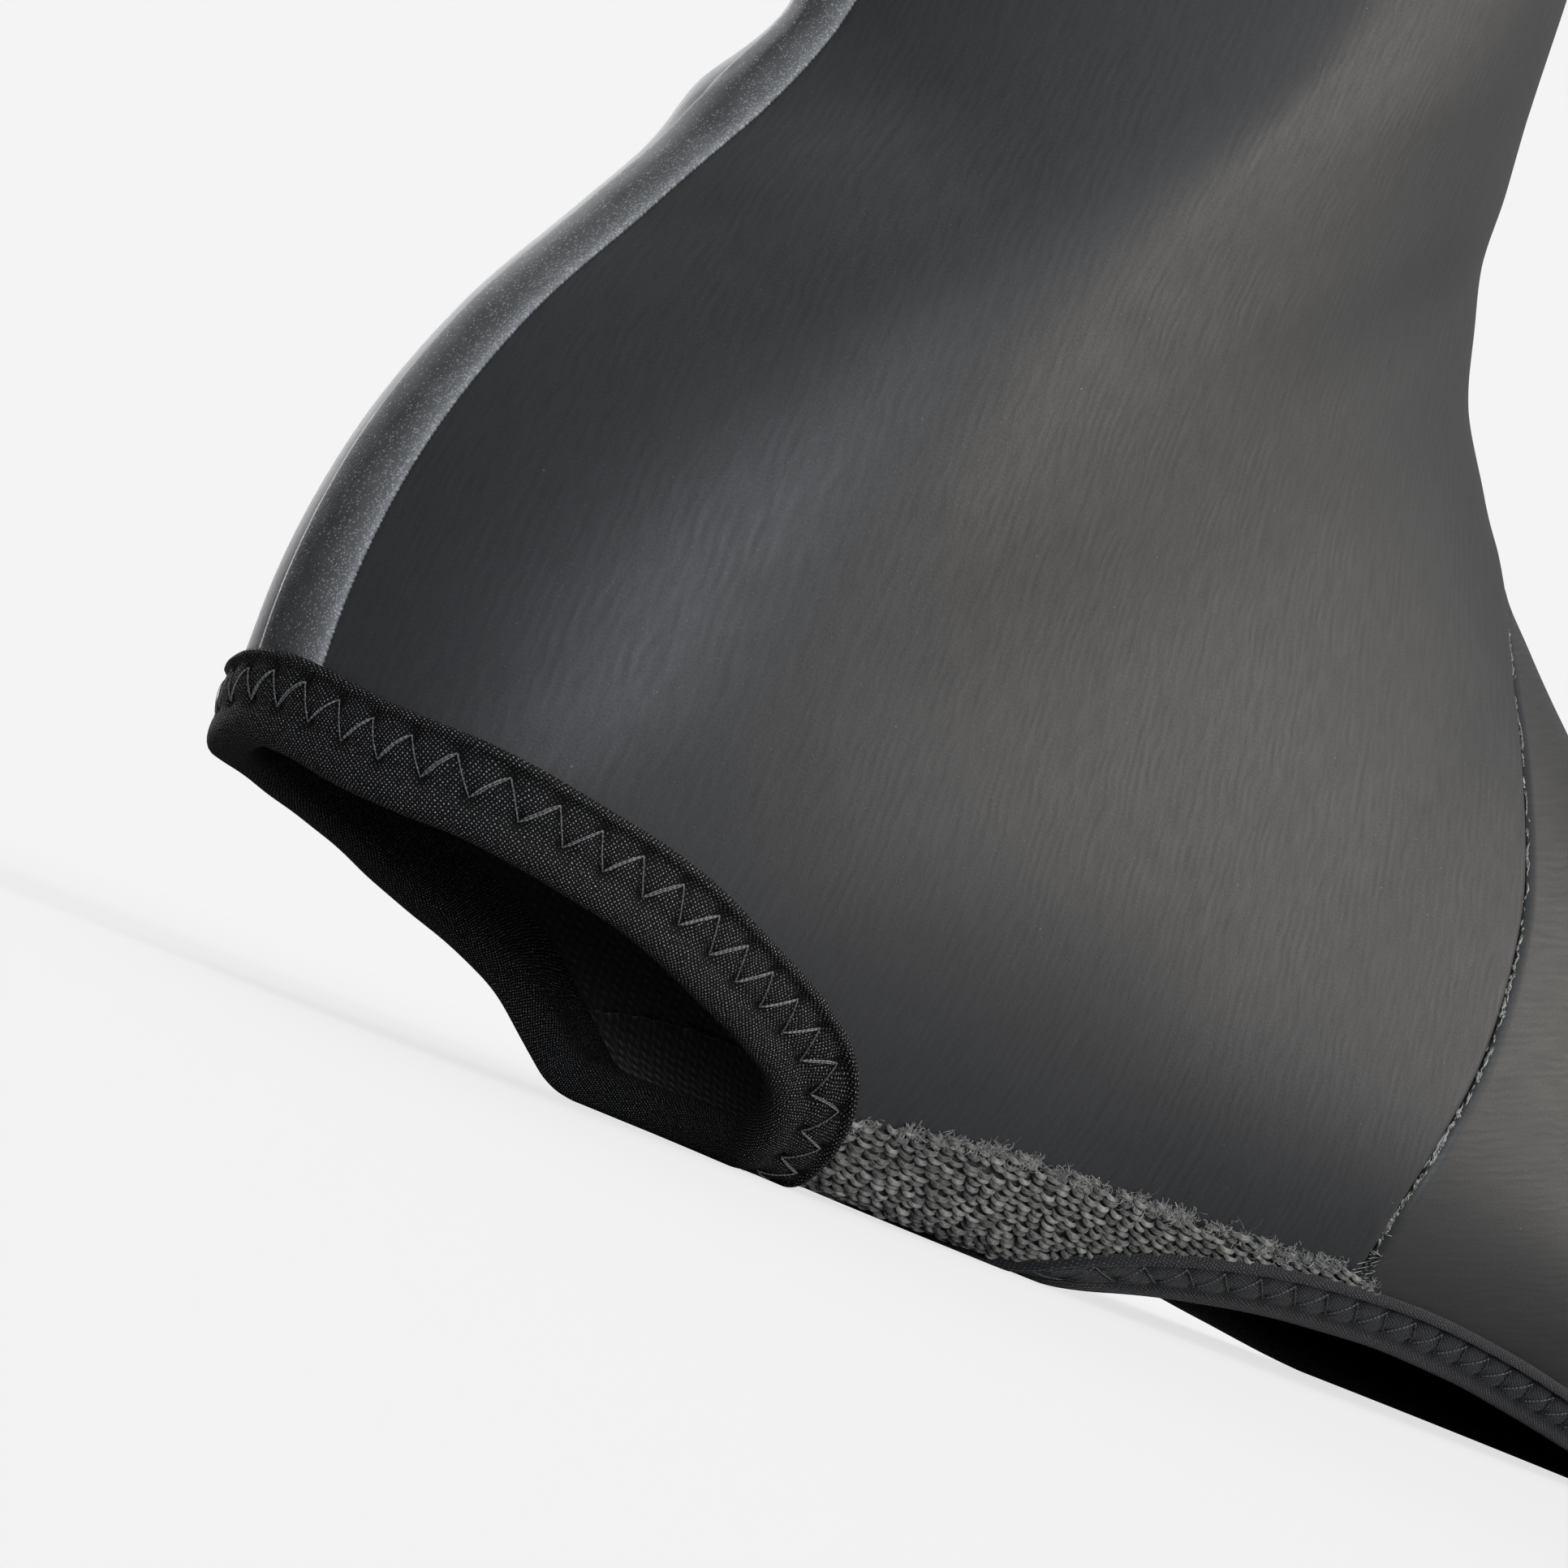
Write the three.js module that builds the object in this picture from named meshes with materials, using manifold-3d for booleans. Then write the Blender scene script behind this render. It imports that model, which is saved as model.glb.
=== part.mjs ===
// Cycling overshoe for a right foot, standing empty. Millimetres: x runs towards the toe, y to the inner
// side of the foot, z up from the floor. The sections count x from the back of the heel, and the group
// then moves so that its origin is the flat spot under the arch.

import * as THREE from 'three';
import { mergeVertices } from 'three/addons/utils/BufferGeometryUtils.js';
import Module from 'manifold-3d';

const wasm = await Module();
wasm.setup();

// Driving sizes
const footLength = 272;
const ballWidth = 100;
const ankleWidth = 70;
const instepHeight = 121;
const collarHeight = 222;
const wall = 2.4;
const hemHeight = 14;
const hemStep = 0.8;
// The hem's inner step rises over this share of a section.
const hemRise = 0.04;
const bindingWidth = 8.6;
const bindingThickness = 0.9;
const tapeWidth = 11.5;
const tapeThickness = 0.5;
const seamWidth = 1.2;
const seamDepth = 0.9;
const fitGap = 0.35;

// The bindings' outer leaves touch the floor, so the fabric inside them is this high where it lies flat.
const soleLevel = bindingThickness + fitGap;
// How softly the rounded underside turns into its flat spot.
const settleReach = 1.5;

// Sections of the last's outer face, from the toe tip along the foot. Each lies in a tilted plane from a
// point on the front line to a point on the back line, or on the sole. Shares: frontX, backX and swing
// of the foot's length; frontZ and backZ of the instep's height; halfWidth of the ball's width.
// widest is how far back from the front line the section is widest, and the powers are how square its
// front half and its back half are.
const footRows = [
  // frontX frontZ backX  backZ halfWidth widest swing  frontPower backPower
  [1.000, 0.170, 1.000, 0.166, 0.005, 0.50, 0.026, 2.0, 2.0],
  [0.993, 0.242, 0.994, 0.095, 0.135, 0.50, 0.028, 2.0, 2.0],
  [0.971, 0.300, 0.978, 0.025, 0.230, 0.55, 0.027, 2.0, 2.2],
  [0.926, 0.352, 0.930, -0.017, 0.335, 0.60, 0.025, 2.0, 2.4],
  [0.860, 0.407, 0.857, -0.025, 0.425, 0.64, 0.021, 2.0, 2.6],
  [0.772, 0.488, 0.765, -0.017, 0.490, 0.67, 0.013, 2.0, 2.6],
  [0.688, 0.598, 0.669, -0.008, 0.500, 0.68, 0.004, 2.0, 2.5],
  [0.610, 0.714, 0.574, 0.000, 0.465, 0.67, 0.000, 2.0, 2.4],
  [0.551, 0.792, 0.478, -0.008, 0.425, 0.65, -0.002, 2.0, 2.3],
  [0.526, 0.850, 0.379, -0.021, 0.385, 0.63, -0.002, 2.0, 2.2],
  [0.509, 0.900, 0.279, -0.025, 0.355, 0.62, 0.000, 2.0, 2.2],
  [0.494, 0.950, 0.173, -0.017, 0.345, 0.62, 0.000, 2.0, 2.2],
  [0.478, 1.000, 0.074, 0.000, 0.340, 0.62, 0.000, 2.1, 2.3],
];

// Sections from the heel up the ankle and the shaft. frontX and backX are shares of the foot's length,
// frontZ of the height from the instep to the collar, backZ of the collar's height and halfWidth of the
// ankle's width.
const shaftRows = [
  // frontX frontZ backX  backZ halfWidth widest swing  frontPower backPower
  [0.465, 0.065, 0.015, 0.059, 0.486, 0.62, 0.000, 2.2, 2.3],
  [0.454, 0.130, 0.000, 0.135, 0.493, 0.62, 0.000, 2.2, 2.1],
  [0.445, 0.200, 0.002, 0.216, 0.505, 0.60, 0.000, 2.3, 1.9],
  [0.436, 0.270, 0.020, 0.293, 0.518, 0.58, 0.000, 2.3, 1.75],
  [0.428, 0.340, 0.050, 0.365, 0.525, 0.56, 0.000, 2.3, 1.65],
  [0.422, 0.418, 0.080, 0.437, 0.520, 0.54, 0.000, 2.3, 1.6],
  [0.416, 0.507, 0.098, 0.514, 0.507, 0.52, 0.000, 2.3, 1.6],
  [0.411, 0.615, 0.100, 0.604, 0.500, 0.50, 0.000, 2.3, 1.75],
  [0.409, 0.744, 0.089, 0.712, 0.507, 0.50, 0.000, 2.2, 1.9],
  [0.410, 0.873, 0.069, 0.820, 0.525, 0.50, 0.000, 2.1, 2.0],
  [0.414, 1.000, 0.045, 0.928, 0.557, 0.50, 0.000, 2.0, 2.0],
];

// Rims and borders on the last. station counts the sections from the toe tip, and angle is taken round
// the section from the middle line of the sole and the back, in degrees.
const heelRim = [
  // station angle
  [13.45, 0],
  [13.35, 14],
  [13.00, 33],
  [12.55, 44],
  [12.10, 49],
  [11.60, 48],
  [11.15, 43],
  [10.88, 36],
  [10.68, 25],
  [10.56, 12],
  [10.52, 0],
];
const cleatRim = [
  [8.98, 0],
  [8.96, 14],
  [8.85, 29],
  [8.40, 38],
  [7.70, 43],
  [7.00, 44],
  [6.00, 44],
  [5.00, 44],
  [4.40, 40],
  [3.98, 30],
  [3.78, 15],
  [3.72, 0],
];
const archBorder = [
  [11.10, 0],
  [11.00, 22],
  [10.85, 38],
  [10.60, 44],
  [10.15, 49],
  [9.55, 51],
  [8.90, 53],
  [8.50, 54],
  [8.10, 56],
  [7.85, 50],
  [7.75, 30],
  [7.72, 0],
];
const frontSeam = [
  [8.00, 52],
  [8.20, 69],
  [8.25, 84],
  [8.25, 96],
  [8.35, 109],
  [8.50, 117],
  [8.85, 128],
  [9.15, 136],
  [9.50, 155],
  [9.65, 180],
];

// How finely the forms are stepped: points round a section's back or sole half and its front half,
// and across an opening, millimetres along a border and in a walk over the face, rings to a row of the
// seam, the step in station and angle that a direction is taken over, and how near two points are one.
const backSteps = 20;
const frontSteps = 12;
const slabColumns = 12;
const borderStep = 4.9;
const walkStep = 2;
const seamRings = 2;
const slope = 0.01;
const mergeReach = 1e-4;

const toRadians = (degrees) => THREE.MathUtils.degToRad(degrees);

// Smooth value between the rows of a table, at any place along it.
function between(rows, place, closed = false) {
  const count = rows.length;
  const last = closed ? count : count - 1;
  const index = Math.min(Math.max(Math.floor(place), 0), last - 1);
  const t = place - index;
  const pick = (k) => rows[closed ? (k + count) % count : Math.min(Math.max(k, 0), count - 1)];
  const [a, b, c, d] = [pick(index - 1), pick(index), pick(index + 1), pick(index + 2)];
  return b.map((value, k) => value + 0.5 * t * (
    c[k] - a[k] + t * (2 * a[k] - 5 * b[k] + 4 * c[k] - d[k] + t * (3 * (b[k] - c[k]) + d[k] - a[k]))
  ));
}

function footSection([frontX, frontZ, backX, backZ, halfWidth, widest, swing, frontPower, backPower]) {
  return [
    frontX * footLength, frontZ * instepHeight, backX * footLength, backZ * instepHeight,
    halfWidth * ballWidth, widest, swing * footLength, frontPower, backPower,
  ];
}

function shaftSection([frontX, frontZ, backX, backZ, halfWidth, widest, swing, frontPower, backPower]) {
  return [
    frontX * footLength, instepHeight + frontZ * (collarHeight - instepHeight),
    backX * footLength, backZ * collarHeight,
    halfWidth * ankleWidth, widest, swing * footLength, frontPower, backPower,
  ];
}

const sections = [...footRows.map(footSection), ...shaftRows.map(shaftSection)];
const collarStation = sections.length - 1;

// The underside sinks softly into a flat spot at the sole's level.
function settle(z) {
  const height = z - soleLevel;
  if (height >= settleReach) return z;
  if (height <= -settleReach) return soleLevel;
  return soleLevel + (height + settleReach) ** 2 / (4 * settleReach);
}

// A point of the last's outer face, at a station and an angle from the middle of the sole.
function lastPoint(station, angle) {
  const [frontX, frontZ, backX, backZ, halfWidth, widest, swing, frontPower, backPower] = (
    between(sections, station)
  );
  const depth = Math.hypot(backX - frontX, backZ - frontZ);
  const toBack = Math.cos(angle);
  const toSide = Math.sin(angle);
  const power = toBack < 0 ? frontPower : backPower;
  const reach = (Math.abs(toBack) ** power + Math.abs(toSide) ** power) ** (-1 / power);
  const half = toBack < 0 ? widest : 1 - widest;
  const share = widest + half * reach * toBack;
  return new THREE.Vector3(
    frontX + (backX - frontX) * share,
    swing + halfWidth * reach * toSide,
    settle(frontZ + (backZ - frontZ) * share),
  );
}

// The two directions of the face at a place: along the stations and round the section.
function faceDirections(station, angle) {
  const low = Math.max(station - slope, 0);
  const high = Math.min(station + slope, collarStation);
  const along = lastPoint(high, angle).sub(lastPoint(low, angle)).divideScalar(high - low);
  const round = lastPoint(station, angle + slope).sub(lastPoint(station, angle - slope));
  return { along, round: round.divideScalar(2 * slope) };
}

function outward(station, angle) {
  const { along, round } = faceDirections(station, angle);
  return along.cross(round).normalize();
}

// A point at a distance off the outer face: the wall lies between 0 and -wall.
function offPoint(station, angle, off) {
  return lastPoint(station, angle).addScaledVector(outward(station, angle), off);
}

// Walks over the face from a place, in a direction, and gives the place that it comes to.
function walk(station, angle, direction, distance) {
  const steps = Math.max(Math.ceil(Math.abs(distance) / walkStep), 1);
  let place = [station, angle];
  for (let k = 0; k < steps; k += 1) {
    const { along, round } = faceDirections(...place);
    const normal = along.clone().cross(round).normalize();
    const heading = direction.clone().projectOnPlane(normal).normalize();
    const [aa, ar, rr] = [along.dot(along), along.dot(round), round.dot(round)];
    const [ha, hr] = [heading.dot(along), heading.dot(round)];
    const scale = distance / steps / (aa * rr - ar * ar);
    place = [place[0] + (ha * rr - hr * ar) * scale, place[1] + (hr * aa - ha * ar) * scale];
  }
  return place;
}

// A border's table with both sides of the foot, as places of station and angle in radians.
function bothSides(rows) {
  const left = rows.map(([station, angle]) => [station, toRadians(angle)]);
  const right = left.slice(1, -1).reverse().map(([station, angle]) => [station, -angle]);
  return [...left, ...right];
}

// An even number of steps round a border, so that both sides of the foot are alike.
function borderSteps(rows) {
  const corners = rows.map(([station, angle]) => lastPoint(station, toRadians(angle)));
  const side = corners.slice(1).reduce((sum, point, k) => sum + point.distanceTo(corners[k]), 0);
  return 2 * Math.ceil(side / borderStep);
}

// The border moved outwards over the face by a distance, as places round it.
function border(rows, distance) {
  const loop = bothSides(rows);
  const steps = borderSteps(rows);
  const placeAt = (k) => between(loop, (loop.length * ((k + steps) % steps)) / steps, true);
  return Array.from({ length: steps }, (_, k) => {
    const place = placeAt(k);
    if (distance === 0) return place;
    const tangent = lastPoint(...placeAt(k + 1)).sub(lastPoint(...placeAt(k - 1)));
    const aside = tangent.cross(outward(...place));
    return walk(...place, aside, distance);
  });
}

// A closed body through rings of points, with fans over its two ends unless it runs round.
function loft(rings, runsRound = false) {
  const points = rings.flat();
  const size = rings[0].length;
  const index = [];
  const last = runsRound ? rings.length : rings.length - 1;
  for (let i = 0; i < last; i += 1) {
    for (let j = 0; j < size; j += 1) {
      const [a, b] = [i * size + j, i * size + ((j + 1) % size)];
      const next = (((i + 1) % rings.length) - i) * size;
      index.push(a, b, b + next, a, b + next, a + next);
    }
  }
  if (!runsRound) {
    [rings[0], rings[rings.length - 1]].forEach((ring, end) => {
      const centre = points.length;
      const start = end * (rings.length - 1) * size;
      points.push(ring.reduce((sum, p) => sum.add(p), new THREE.Vector3()).divideScalar(size));
      for (let j = 0; j < size; j += 1) {
        const [a, b] = [start + j, start + ((j + 1) % size)];
        index.push(...(end ? [centre, a, b] : [centre, b, a]));
      }
    });
  }
  return toSolid(points, index);
}

// A solid from points and triangles, turned so that its faces point outwards.
function toSolid(points, index) {
  const raw = new THREE.BufferGeometry().setFromPoints(points);
  raw.setIndex(index);
  const volume = index.reduce((sum, _, k) => (
    k % 3 ? sum : sum + points[index[k]].dot(points[index[k + 1]].clone().cross(points[index[k + 2]]))
  ), 0);
  const merged = mergeVertices(raw, mergeReach);
  const source = merged.index.array;
  const triangles = [];
  for (let k = 0; k < source.length; k += 3) {
    const [a, b, c] = source.slice(k, k + 3);
    if (a !== b && b !== c && c !== a) triangles.push(a, ...(volume > 0 ? [b, c] : [c, b]));
  }
  const mesh = new wasm.Mesh({
    numProp: 3,
    vertProperties: new Float32Array(merged.attributes.position.array),
    triVerts: new Uint32Array(triangles),
  });
  mesh.merge();
  return new wasm.Manifold(mesh);
}

// Stations of the shell's rings: closest together round the toe and the heel, widest up the shaft.
const hemStation = collarStation - hemHeight / lastPoint(collarStation, 0).distanceTo(
  lastPoint(collarStation - 1, 0),
);
const stationSpans = [
  // from to  rings to a section
  [0, 1, 4],
  [1, 9, 2],
  [9, 15, 3],
  [15, 18, 2],
  [18, collarStation, 1],
];
const shellStations = [
  ...stationSpans.flatMap(([from, to, rings]) => (
    Array.from({ length: (to - from) * rings }, (_, k) => from + k / rings)
  )).filter((station) => station < hemStation),
  hemStation,
  hemStation + hemRise,
  collarStation,
];

const shellAngles = [
  ...Array.from({ length: backSteps }, (_, j) => Math.PI * (j / backSteps - 0.5)),
  ...Array.from({ length: frontSteps }, (_, j) => Math.PI * (j / frontSteps + 0.5)),
];

function lastBody(off, rise) {
  const rings = shellStations.map((station) => shellAngles.map((angle) => (
    offPoint(station, angle, off(station))
  )));
  if (rise > 0) {
    rings.push(rings[rings.length - 1].map((p) => p.clone().setZ(p.z + rise)));
  }
  return loft(rings);
}

// A slab through the wall, over the area inside a border.
const slabReach = 1;
function slab(rows, distance) {
  const places = border(rows, distance);
  const half = places.length / 2;
  const rings = Array.from({ length: half + 1 }, (_, k) => {
    const left = places[k];
    const right = places[(places.length - k) % places.length];
    const across = Array.from({ length: slabColumns + 1 }, (_unused, j) => {
      const t = j / slabColumns;
      return [left[0] + (right[0] - left[0]) * t, left[1] + (right[1] - left[1]) * t];
    });
    const outer = across.map((place) => offPoint(...place, slabReach));
    const inner = across.map((place) => offPoint(...place, -wall - slabReach));
    return [...outer, ...inner.reverse()];
  });
  return loft(rings);
}

// The groove over the seam between the rear and the front panel, from one side's border over the
// instep to the other's.
function seamGroove() {
  const left = frontSeam.map(([station, angle]) => [station, toRadians(angle)]);
  const right = left.slice(0, -1).reverse().map(([station, angle]) => [station, 2 * Math.PI - angle]);
  const route = [...left, ...right];
  const steps = seamRings * (route.length - 1);
  const rings = Array.from({ length: steps + 1 }, (_, k) => {
    const place = between(route, ((route.length - 1) * k) / steps);
    const { along } = faceDirections(...place);
    const back = walk(...place, along, -seamWidth / 2);
    const front = walk(...place, along, seamWidth / 2);
    return [
      offPoint(...back, -seamDepth), offPoint(...back, seamDepth),
      offPoint(...front, seamDepth), offPoint(...front, -seamDepth),
    ];
  });
  return loft(rings);
}

// Binding folded round a rim: an outer and an inner leaf with the wall's edge between them.
const rawEdge = bindingThickness + 2 * fitGap;
function binding(rows) {
  const outerFace = fitGap + bindingThickness;
  const innerFace = -wall - fitGap - bindingThickness;
  const middle = (rawEdge + bindingWidth) / 2;
  const profile = [
    // distance from the rim, distance off the face
    [bindingWidth, outerFace],
    [middle, outerFace],
    [bindingThickness, outerFace],
    [0, 0],
    [0, -wall],
    [bindingThickness, innerFace],
    [bindingWidth, innerFace],
    [bindingWidth, -wall - fitGap],
    [bindingThickness + fitGap, -wall - fitGap],
    [bindingThickness + fitGap, fitGap],
    [middle, fitGap],
    [bindingWidth, fitGap],
  ];
  const widths = [...new Set(profile.map(([width]) => width))];
  const borders = new Map(widths.map((width) => [width, border(rows, width)]));
  const rings = Array.from({ length: borders.get(0).length }, (_, k) => (
    profile.map(([width, off]) => offPoint(...borders.get(width)[k], off))
  ));
  return loft(rings, true);
}

// The tape lies on the back's middle line, from the heel binding to the collar.
function backTape() {
  const [start] = border(heelRim, bindingWidth + fitGap)[0];
  const stations = [start, ...shellStations.filter((station) => station > start)];
  const sideways = new THREE.Vector3(0, 1, 0);
  const widths = [-0.5, 0, 0.5].map((share) => share * tapeWidth);
  const rings = stations.map((station) => {
    const places = widths.map((width) => walk(station, 0, sideways, width));
    const outer = places.map((place) => offPoint(...place, fitGap + tapeThickness));
    const inner = places.map((place) => offPoint(...place, fitGap));
    return [...outer, ...inner.reverse()];
  });
  return loft(rings);
}

function toMesh(name, solid, colour, roughness, metalness = 0) {
  const { vertProperties, triVerts } = solid.getMesh();
  const geometry = new THREE.BufferGeometry();
  geometry.setAttribute('position', new THREE.BufferAttribute(new Float32Array(vertProperties), 3));
  geometry.setIndex(new THREE.BufferAttribute(new Uint32Array(triVerts), 1));
  geometry.computeVertexNormals();
  const material = new THREE.MeshStandardMaterial({ color: colour, roughness, metalness });
  const mesh = new THREE.Mesh(geometry, material);
  mesh.name = name;
  return mesh;
}

const innerOff = (station) => (station > hemStation ? -wall - hemStep : -wall);
const collarCut = 2 * wall;
const shell = lastBody(() => 0, 0).subtract(lastBody(innerOff, collarCut));
const heelOpening = slab(heelRim, rawEdge);
const cleatOpening = slab(cleatRim, rawEdge);
const openShell = shell.subtract(heelOpening).subtract(cleatOpening);
const upper = openShell.subtract(slab(archBorder, fitGap / 2)).subtract(seamGroove());
const archPanel = openShell.intersect(slab(archBorder, -fitGap / 2));

// The flat spot is the middle of the cleat binding's rear run.
const restPoint = lastPoint(...border(cleatRim, bindingWidth / 2)[0]);

const part = new THREE.Group();
part.position.x = -restPoint.x;
part.add(
  toMesh('upper', upper, 0x2b2b2c, 0.55),
  toMesh('arch_panel', archPanel, 0x3a3b38, 0.95),
  toMesh('heel_binding', binding(heelRim), 0x151515, 0.85),
  toMesh('cleat_binding', binding(cleatRim), 0x151515, 0.85),
  toMesh('back_tape', backTape(), 0x7d7f80, 0.45),
);

export default part;
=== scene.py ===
import math

import bmesh
import bpy
import numpy as np
from mathutils import Matrix, Vector


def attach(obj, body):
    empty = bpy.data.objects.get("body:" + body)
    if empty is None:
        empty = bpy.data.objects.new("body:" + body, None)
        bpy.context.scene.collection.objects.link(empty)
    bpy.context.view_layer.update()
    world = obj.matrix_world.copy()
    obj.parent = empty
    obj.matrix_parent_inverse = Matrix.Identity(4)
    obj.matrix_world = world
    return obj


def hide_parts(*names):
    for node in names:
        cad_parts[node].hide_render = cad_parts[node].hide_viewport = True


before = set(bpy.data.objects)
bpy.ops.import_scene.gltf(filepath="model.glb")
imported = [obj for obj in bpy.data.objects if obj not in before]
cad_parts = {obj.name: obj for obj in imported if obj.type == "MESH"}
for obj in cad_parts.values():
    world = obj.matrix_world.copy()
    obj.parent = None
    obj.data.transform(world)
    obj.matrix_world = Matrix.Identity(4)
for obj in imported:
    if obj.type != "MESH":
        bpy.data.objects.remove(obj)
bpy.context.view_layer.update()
chance = np.random.default_rng(11)
print("frame loaded:", sorted(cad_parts))

# The last, in millimetres, as the solids have it: x towards the toe, y to the inner side, z up.
shoe = {
    "footLength": 272, "ballWidth": 100, "ankleWidth": 70, "instepHeight": 121, "collarHeight": 222,
    "wall": 2.4, "hemHeight": 14, "hemStep": 0.8, "hemSeamGap": 3.2, "bindingWidth": 8.6,
    "bindingThickness": 0.9, "tapeWidth": 11.5, "fitGap": 0.35, "settleReach": 1.5, "shiftX": -99.3323,
}
soleLevel = shoe["bindingThickness"] + shoe["fitGap"]
hemSeams = [shoe["hemHeight"] + side * shoe["hemSeamGap"] / 2 for side in (-1, 1)]  # mm down from the collar

# Shares: frontX, frontZ, backX, backZ, halfWidth, widest, swing, frontPower, backPower
footRows = [
    [1.000, 0.170, 1.000, 0.166, 0.005, 0.50, 0.026, 2.0, 2.0],
    [0.993, 0.242, 0.994, 0.095, 0.135, 0.50, 0.028, 2.0, 2.0],
    [0.971, 0.300, 0.978, 0.025, 0.230, 0.55, 0.027, 2.0, 2.2],
    [0.926, 0.352, 0.930, -0.017, 0.335, 0.60, 0.025, 2.0, 2.4],
    [0.860, 0.407, 0.857, -0.025, 0.425, 0.64, 0.021, 2.0, 2.6],
    [0.772, 0.488, 0.765, -0.017, 0.490, 0.67, 0.013, 2.0, 2.6],
    [0.688, 0.598, 0.669, -0.008, 0.500, 0.68, 0.004, 2.0, 2.5],
    [0.610, 0.714, 0.574, 0.000, 0.465, 0.67, 0.000, 2.0, 2.4],
    [0.551, 0.792, 0.478, -0.008, 0.425, 0.65, -0.002, 2.0, 2.3],
    [0.526, 0.850, 0.379, -0.021, 0.385, 0.63, -0.002, 2.0, 2.2],
    [0.509, 0.900, 0.279, -0.025, 0.355, 0.62, 0.000, 2.0, 2.2],
    [0.494, 0.950, 0.173, -0.017, 0.345, 0.62, 0.000, 2.0, 2.2],
    [0.478, 1.000, 0.074, 0.000, 0.340, 0.62, 0.000, 2.1, 2.3],
]
shaftRows = [
    [0.465, 0.065, 0.015, 0.059, 0.486, 0.62, 0.000, 2.2, 2.3],
    [0.454, 0.130, 0.000, 0.135, 0.493, 0.62, 0.000, 2.2, 2.1],
    [0.445, 0.200, 0.002, 0.216, 0.505, 0.60, 0.000, 2.3, 1.9],
    [0.436, 0.270, 0.020, 0.293, 0.518, 0.58, 0.000, 2.3, 1.75],
    [0.428, 0.340, 0.050, 0.365, 0.525, 0.56, 0.000, 2.3, 1.65],
    [0.422, 0.418, 0.080, 0.437, 0.520, 0.54, 0.000, 2.3, 1.6],
    [0.416, 0.507, 0.098, 0.514, 0.507, 0.52, 0.000, 2.3, 1.6],
    [0.411, 0.615, 0.100, 0.604, 0.500, 0.50, 0.000, 2.3, 1.75],
    [0.409, 0.744, 0.089, 0.712, 0.507, 0.50, 0.000, 2.2, 1.9],
    [0.410, 0.873, 0.069, 0.820, 0.525, 0.50, 0.000, 2.1, 2.0],
    [0.414, 1.000, 0.045, 0.928, 0.557, 0.50, 0.000, 2.0, 2.0],
]
# Rims and borders: station (sections from the toe tip) and angle (degrees from the sole's middle line)
heelRim = [(13.45, 0), (13.35, 14), (13.00, 33), (12.55, 44), (12.10, 49), (11.60, 48), (11.15, 43),
           (10.88, 36), (10.68, 25), (10.56, 12), (10.52, 0)]
cleatRim = [(8.98, 0), (8.96, 14), (8.85, 29), (8.40, 38), (7.70, 43), (7.00, 44), (6.00, 44),
            (5.00, 44), (4.40, 40), (3.98, 30), (3.78, 15), (3.72, 0)]
archBorder = [(11.10, 0), (11.00, 22), (10.85, 38), (10.60, 44), (10.15, 49), (9.55, 51), (8.90, 53),
              (8.50, 54), (8.10, 56), (7.85, 50), (7.75, 30), (7.72, 0)]
frontSeam = [(8.00, 52), (8.20, 69), (8.25, 84), (8.25, 96), (8.35, 109), (8.50, 117), (8.85, 128),
             (9.15, 136), (9.50, 155), (9.65, 180)]


def scaledSections():
    length, instep, collar = shoe["footLength"], shoe["instepHeight"], shoe["collarHeight"]
    foot = np.array(footRows) * [length, instep, length, instep, shoe["ballWidth"], 1, length, 1, 1]
    shaft = np.array(shaftRows) * [
        length, collar - instep, length, collar, shoe["ankleWidth"], 1, length, 1, 1]
    shaft[:, 1] += instep
    return np.concatenate([foot, shaft])


sections = scaledSections()
collarStation = len(sections) - 1


def between(rows, place, closed=False):
    rows, place = np.asarray(rows, float), np.asarray(place, float)
    count = len(rows)
    index = np.clip(np.floor(place).astype(int), 0, (count if closed else count - 1) - 1)
    t = (place - index)[..., None]
    around = [(index + k) % count if closed else np.clip(index + k, 0, count - 1) for k in (-1, 0, 1, 2)]
    a, b, c, d = (rows[k] for k in around)
    return b + 0.5 * t * (c - a + t * (2 * a - 5 * b + 4 * c - d + t * (3 * (b - c) + d - a)))


def lastPoint(station, angle):
    station, angle = np.broadcast_arrays(np.asarray(station, float), np.asarray(angle, float))
    frontX, frontZ, backX, backZ, halfWidth, widest, swing, frontPower, backPower = np.moveaxis(
        between(sections, station), -1, 0)
    toBack, toSide = np.cos(angle), np.sin(angle)
    power = np.where(toBack < 0, frontPower, backPower)
    reach = (np.abs(toBack) ** power + np.abs(toSide) ** power) ** (-1 / power)
    share = widest + np.where(toBack < 0, widest, 1 - widest) * reach * toBack
    height = frontZ + (backZ - frontZ) * share - soleLevel
    soft = shoe["settleReach"]
    blended = np.where(height <= -soft, 0, (height + soft) ** 2 / (4 * soft))
    x = frontX + (backX - frontX) * share + shoe["shiftX"]
    y = swing + halfWidth * reach * toSide
    return np.stack([x, y, np.where(height >= soft, height, blended) + soleLevel], -1)


def faceDirections(station, angle, slope=0.01):
    station, angle = np.broadcast_arrays(np.asarray(station, float), np.asarray(angle, float))
    low, high = np.maximum(station - slope, 0), np.minimum(station + slope, collarStation)
    along = (lastPoint(high, angle) - lastPoint(low, angle)) / (high - low)[..., None]
    around = (lastPoint(station, angle + slope) - lastPoint(station, angle - slope)) / (2 * slope)
    return along, around


def unit(vectors):
    return vectors / np.maximum(np.linalg.norm(vectors, axis=-1, keepdims=True), 1e-9)


def lengthAlong(points):
    # distance travelled from the first point to each of the others
    steps = np.linalg.norm(np.diff(points, axis=0), axis=-1)
    return np.concatenate([np.zeros_like(steps[:1]), np.cumsum(steps, 0)])


def outward(station, angle):
    return unit(np.cross(*faceDirections(station, angle)))


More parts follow.
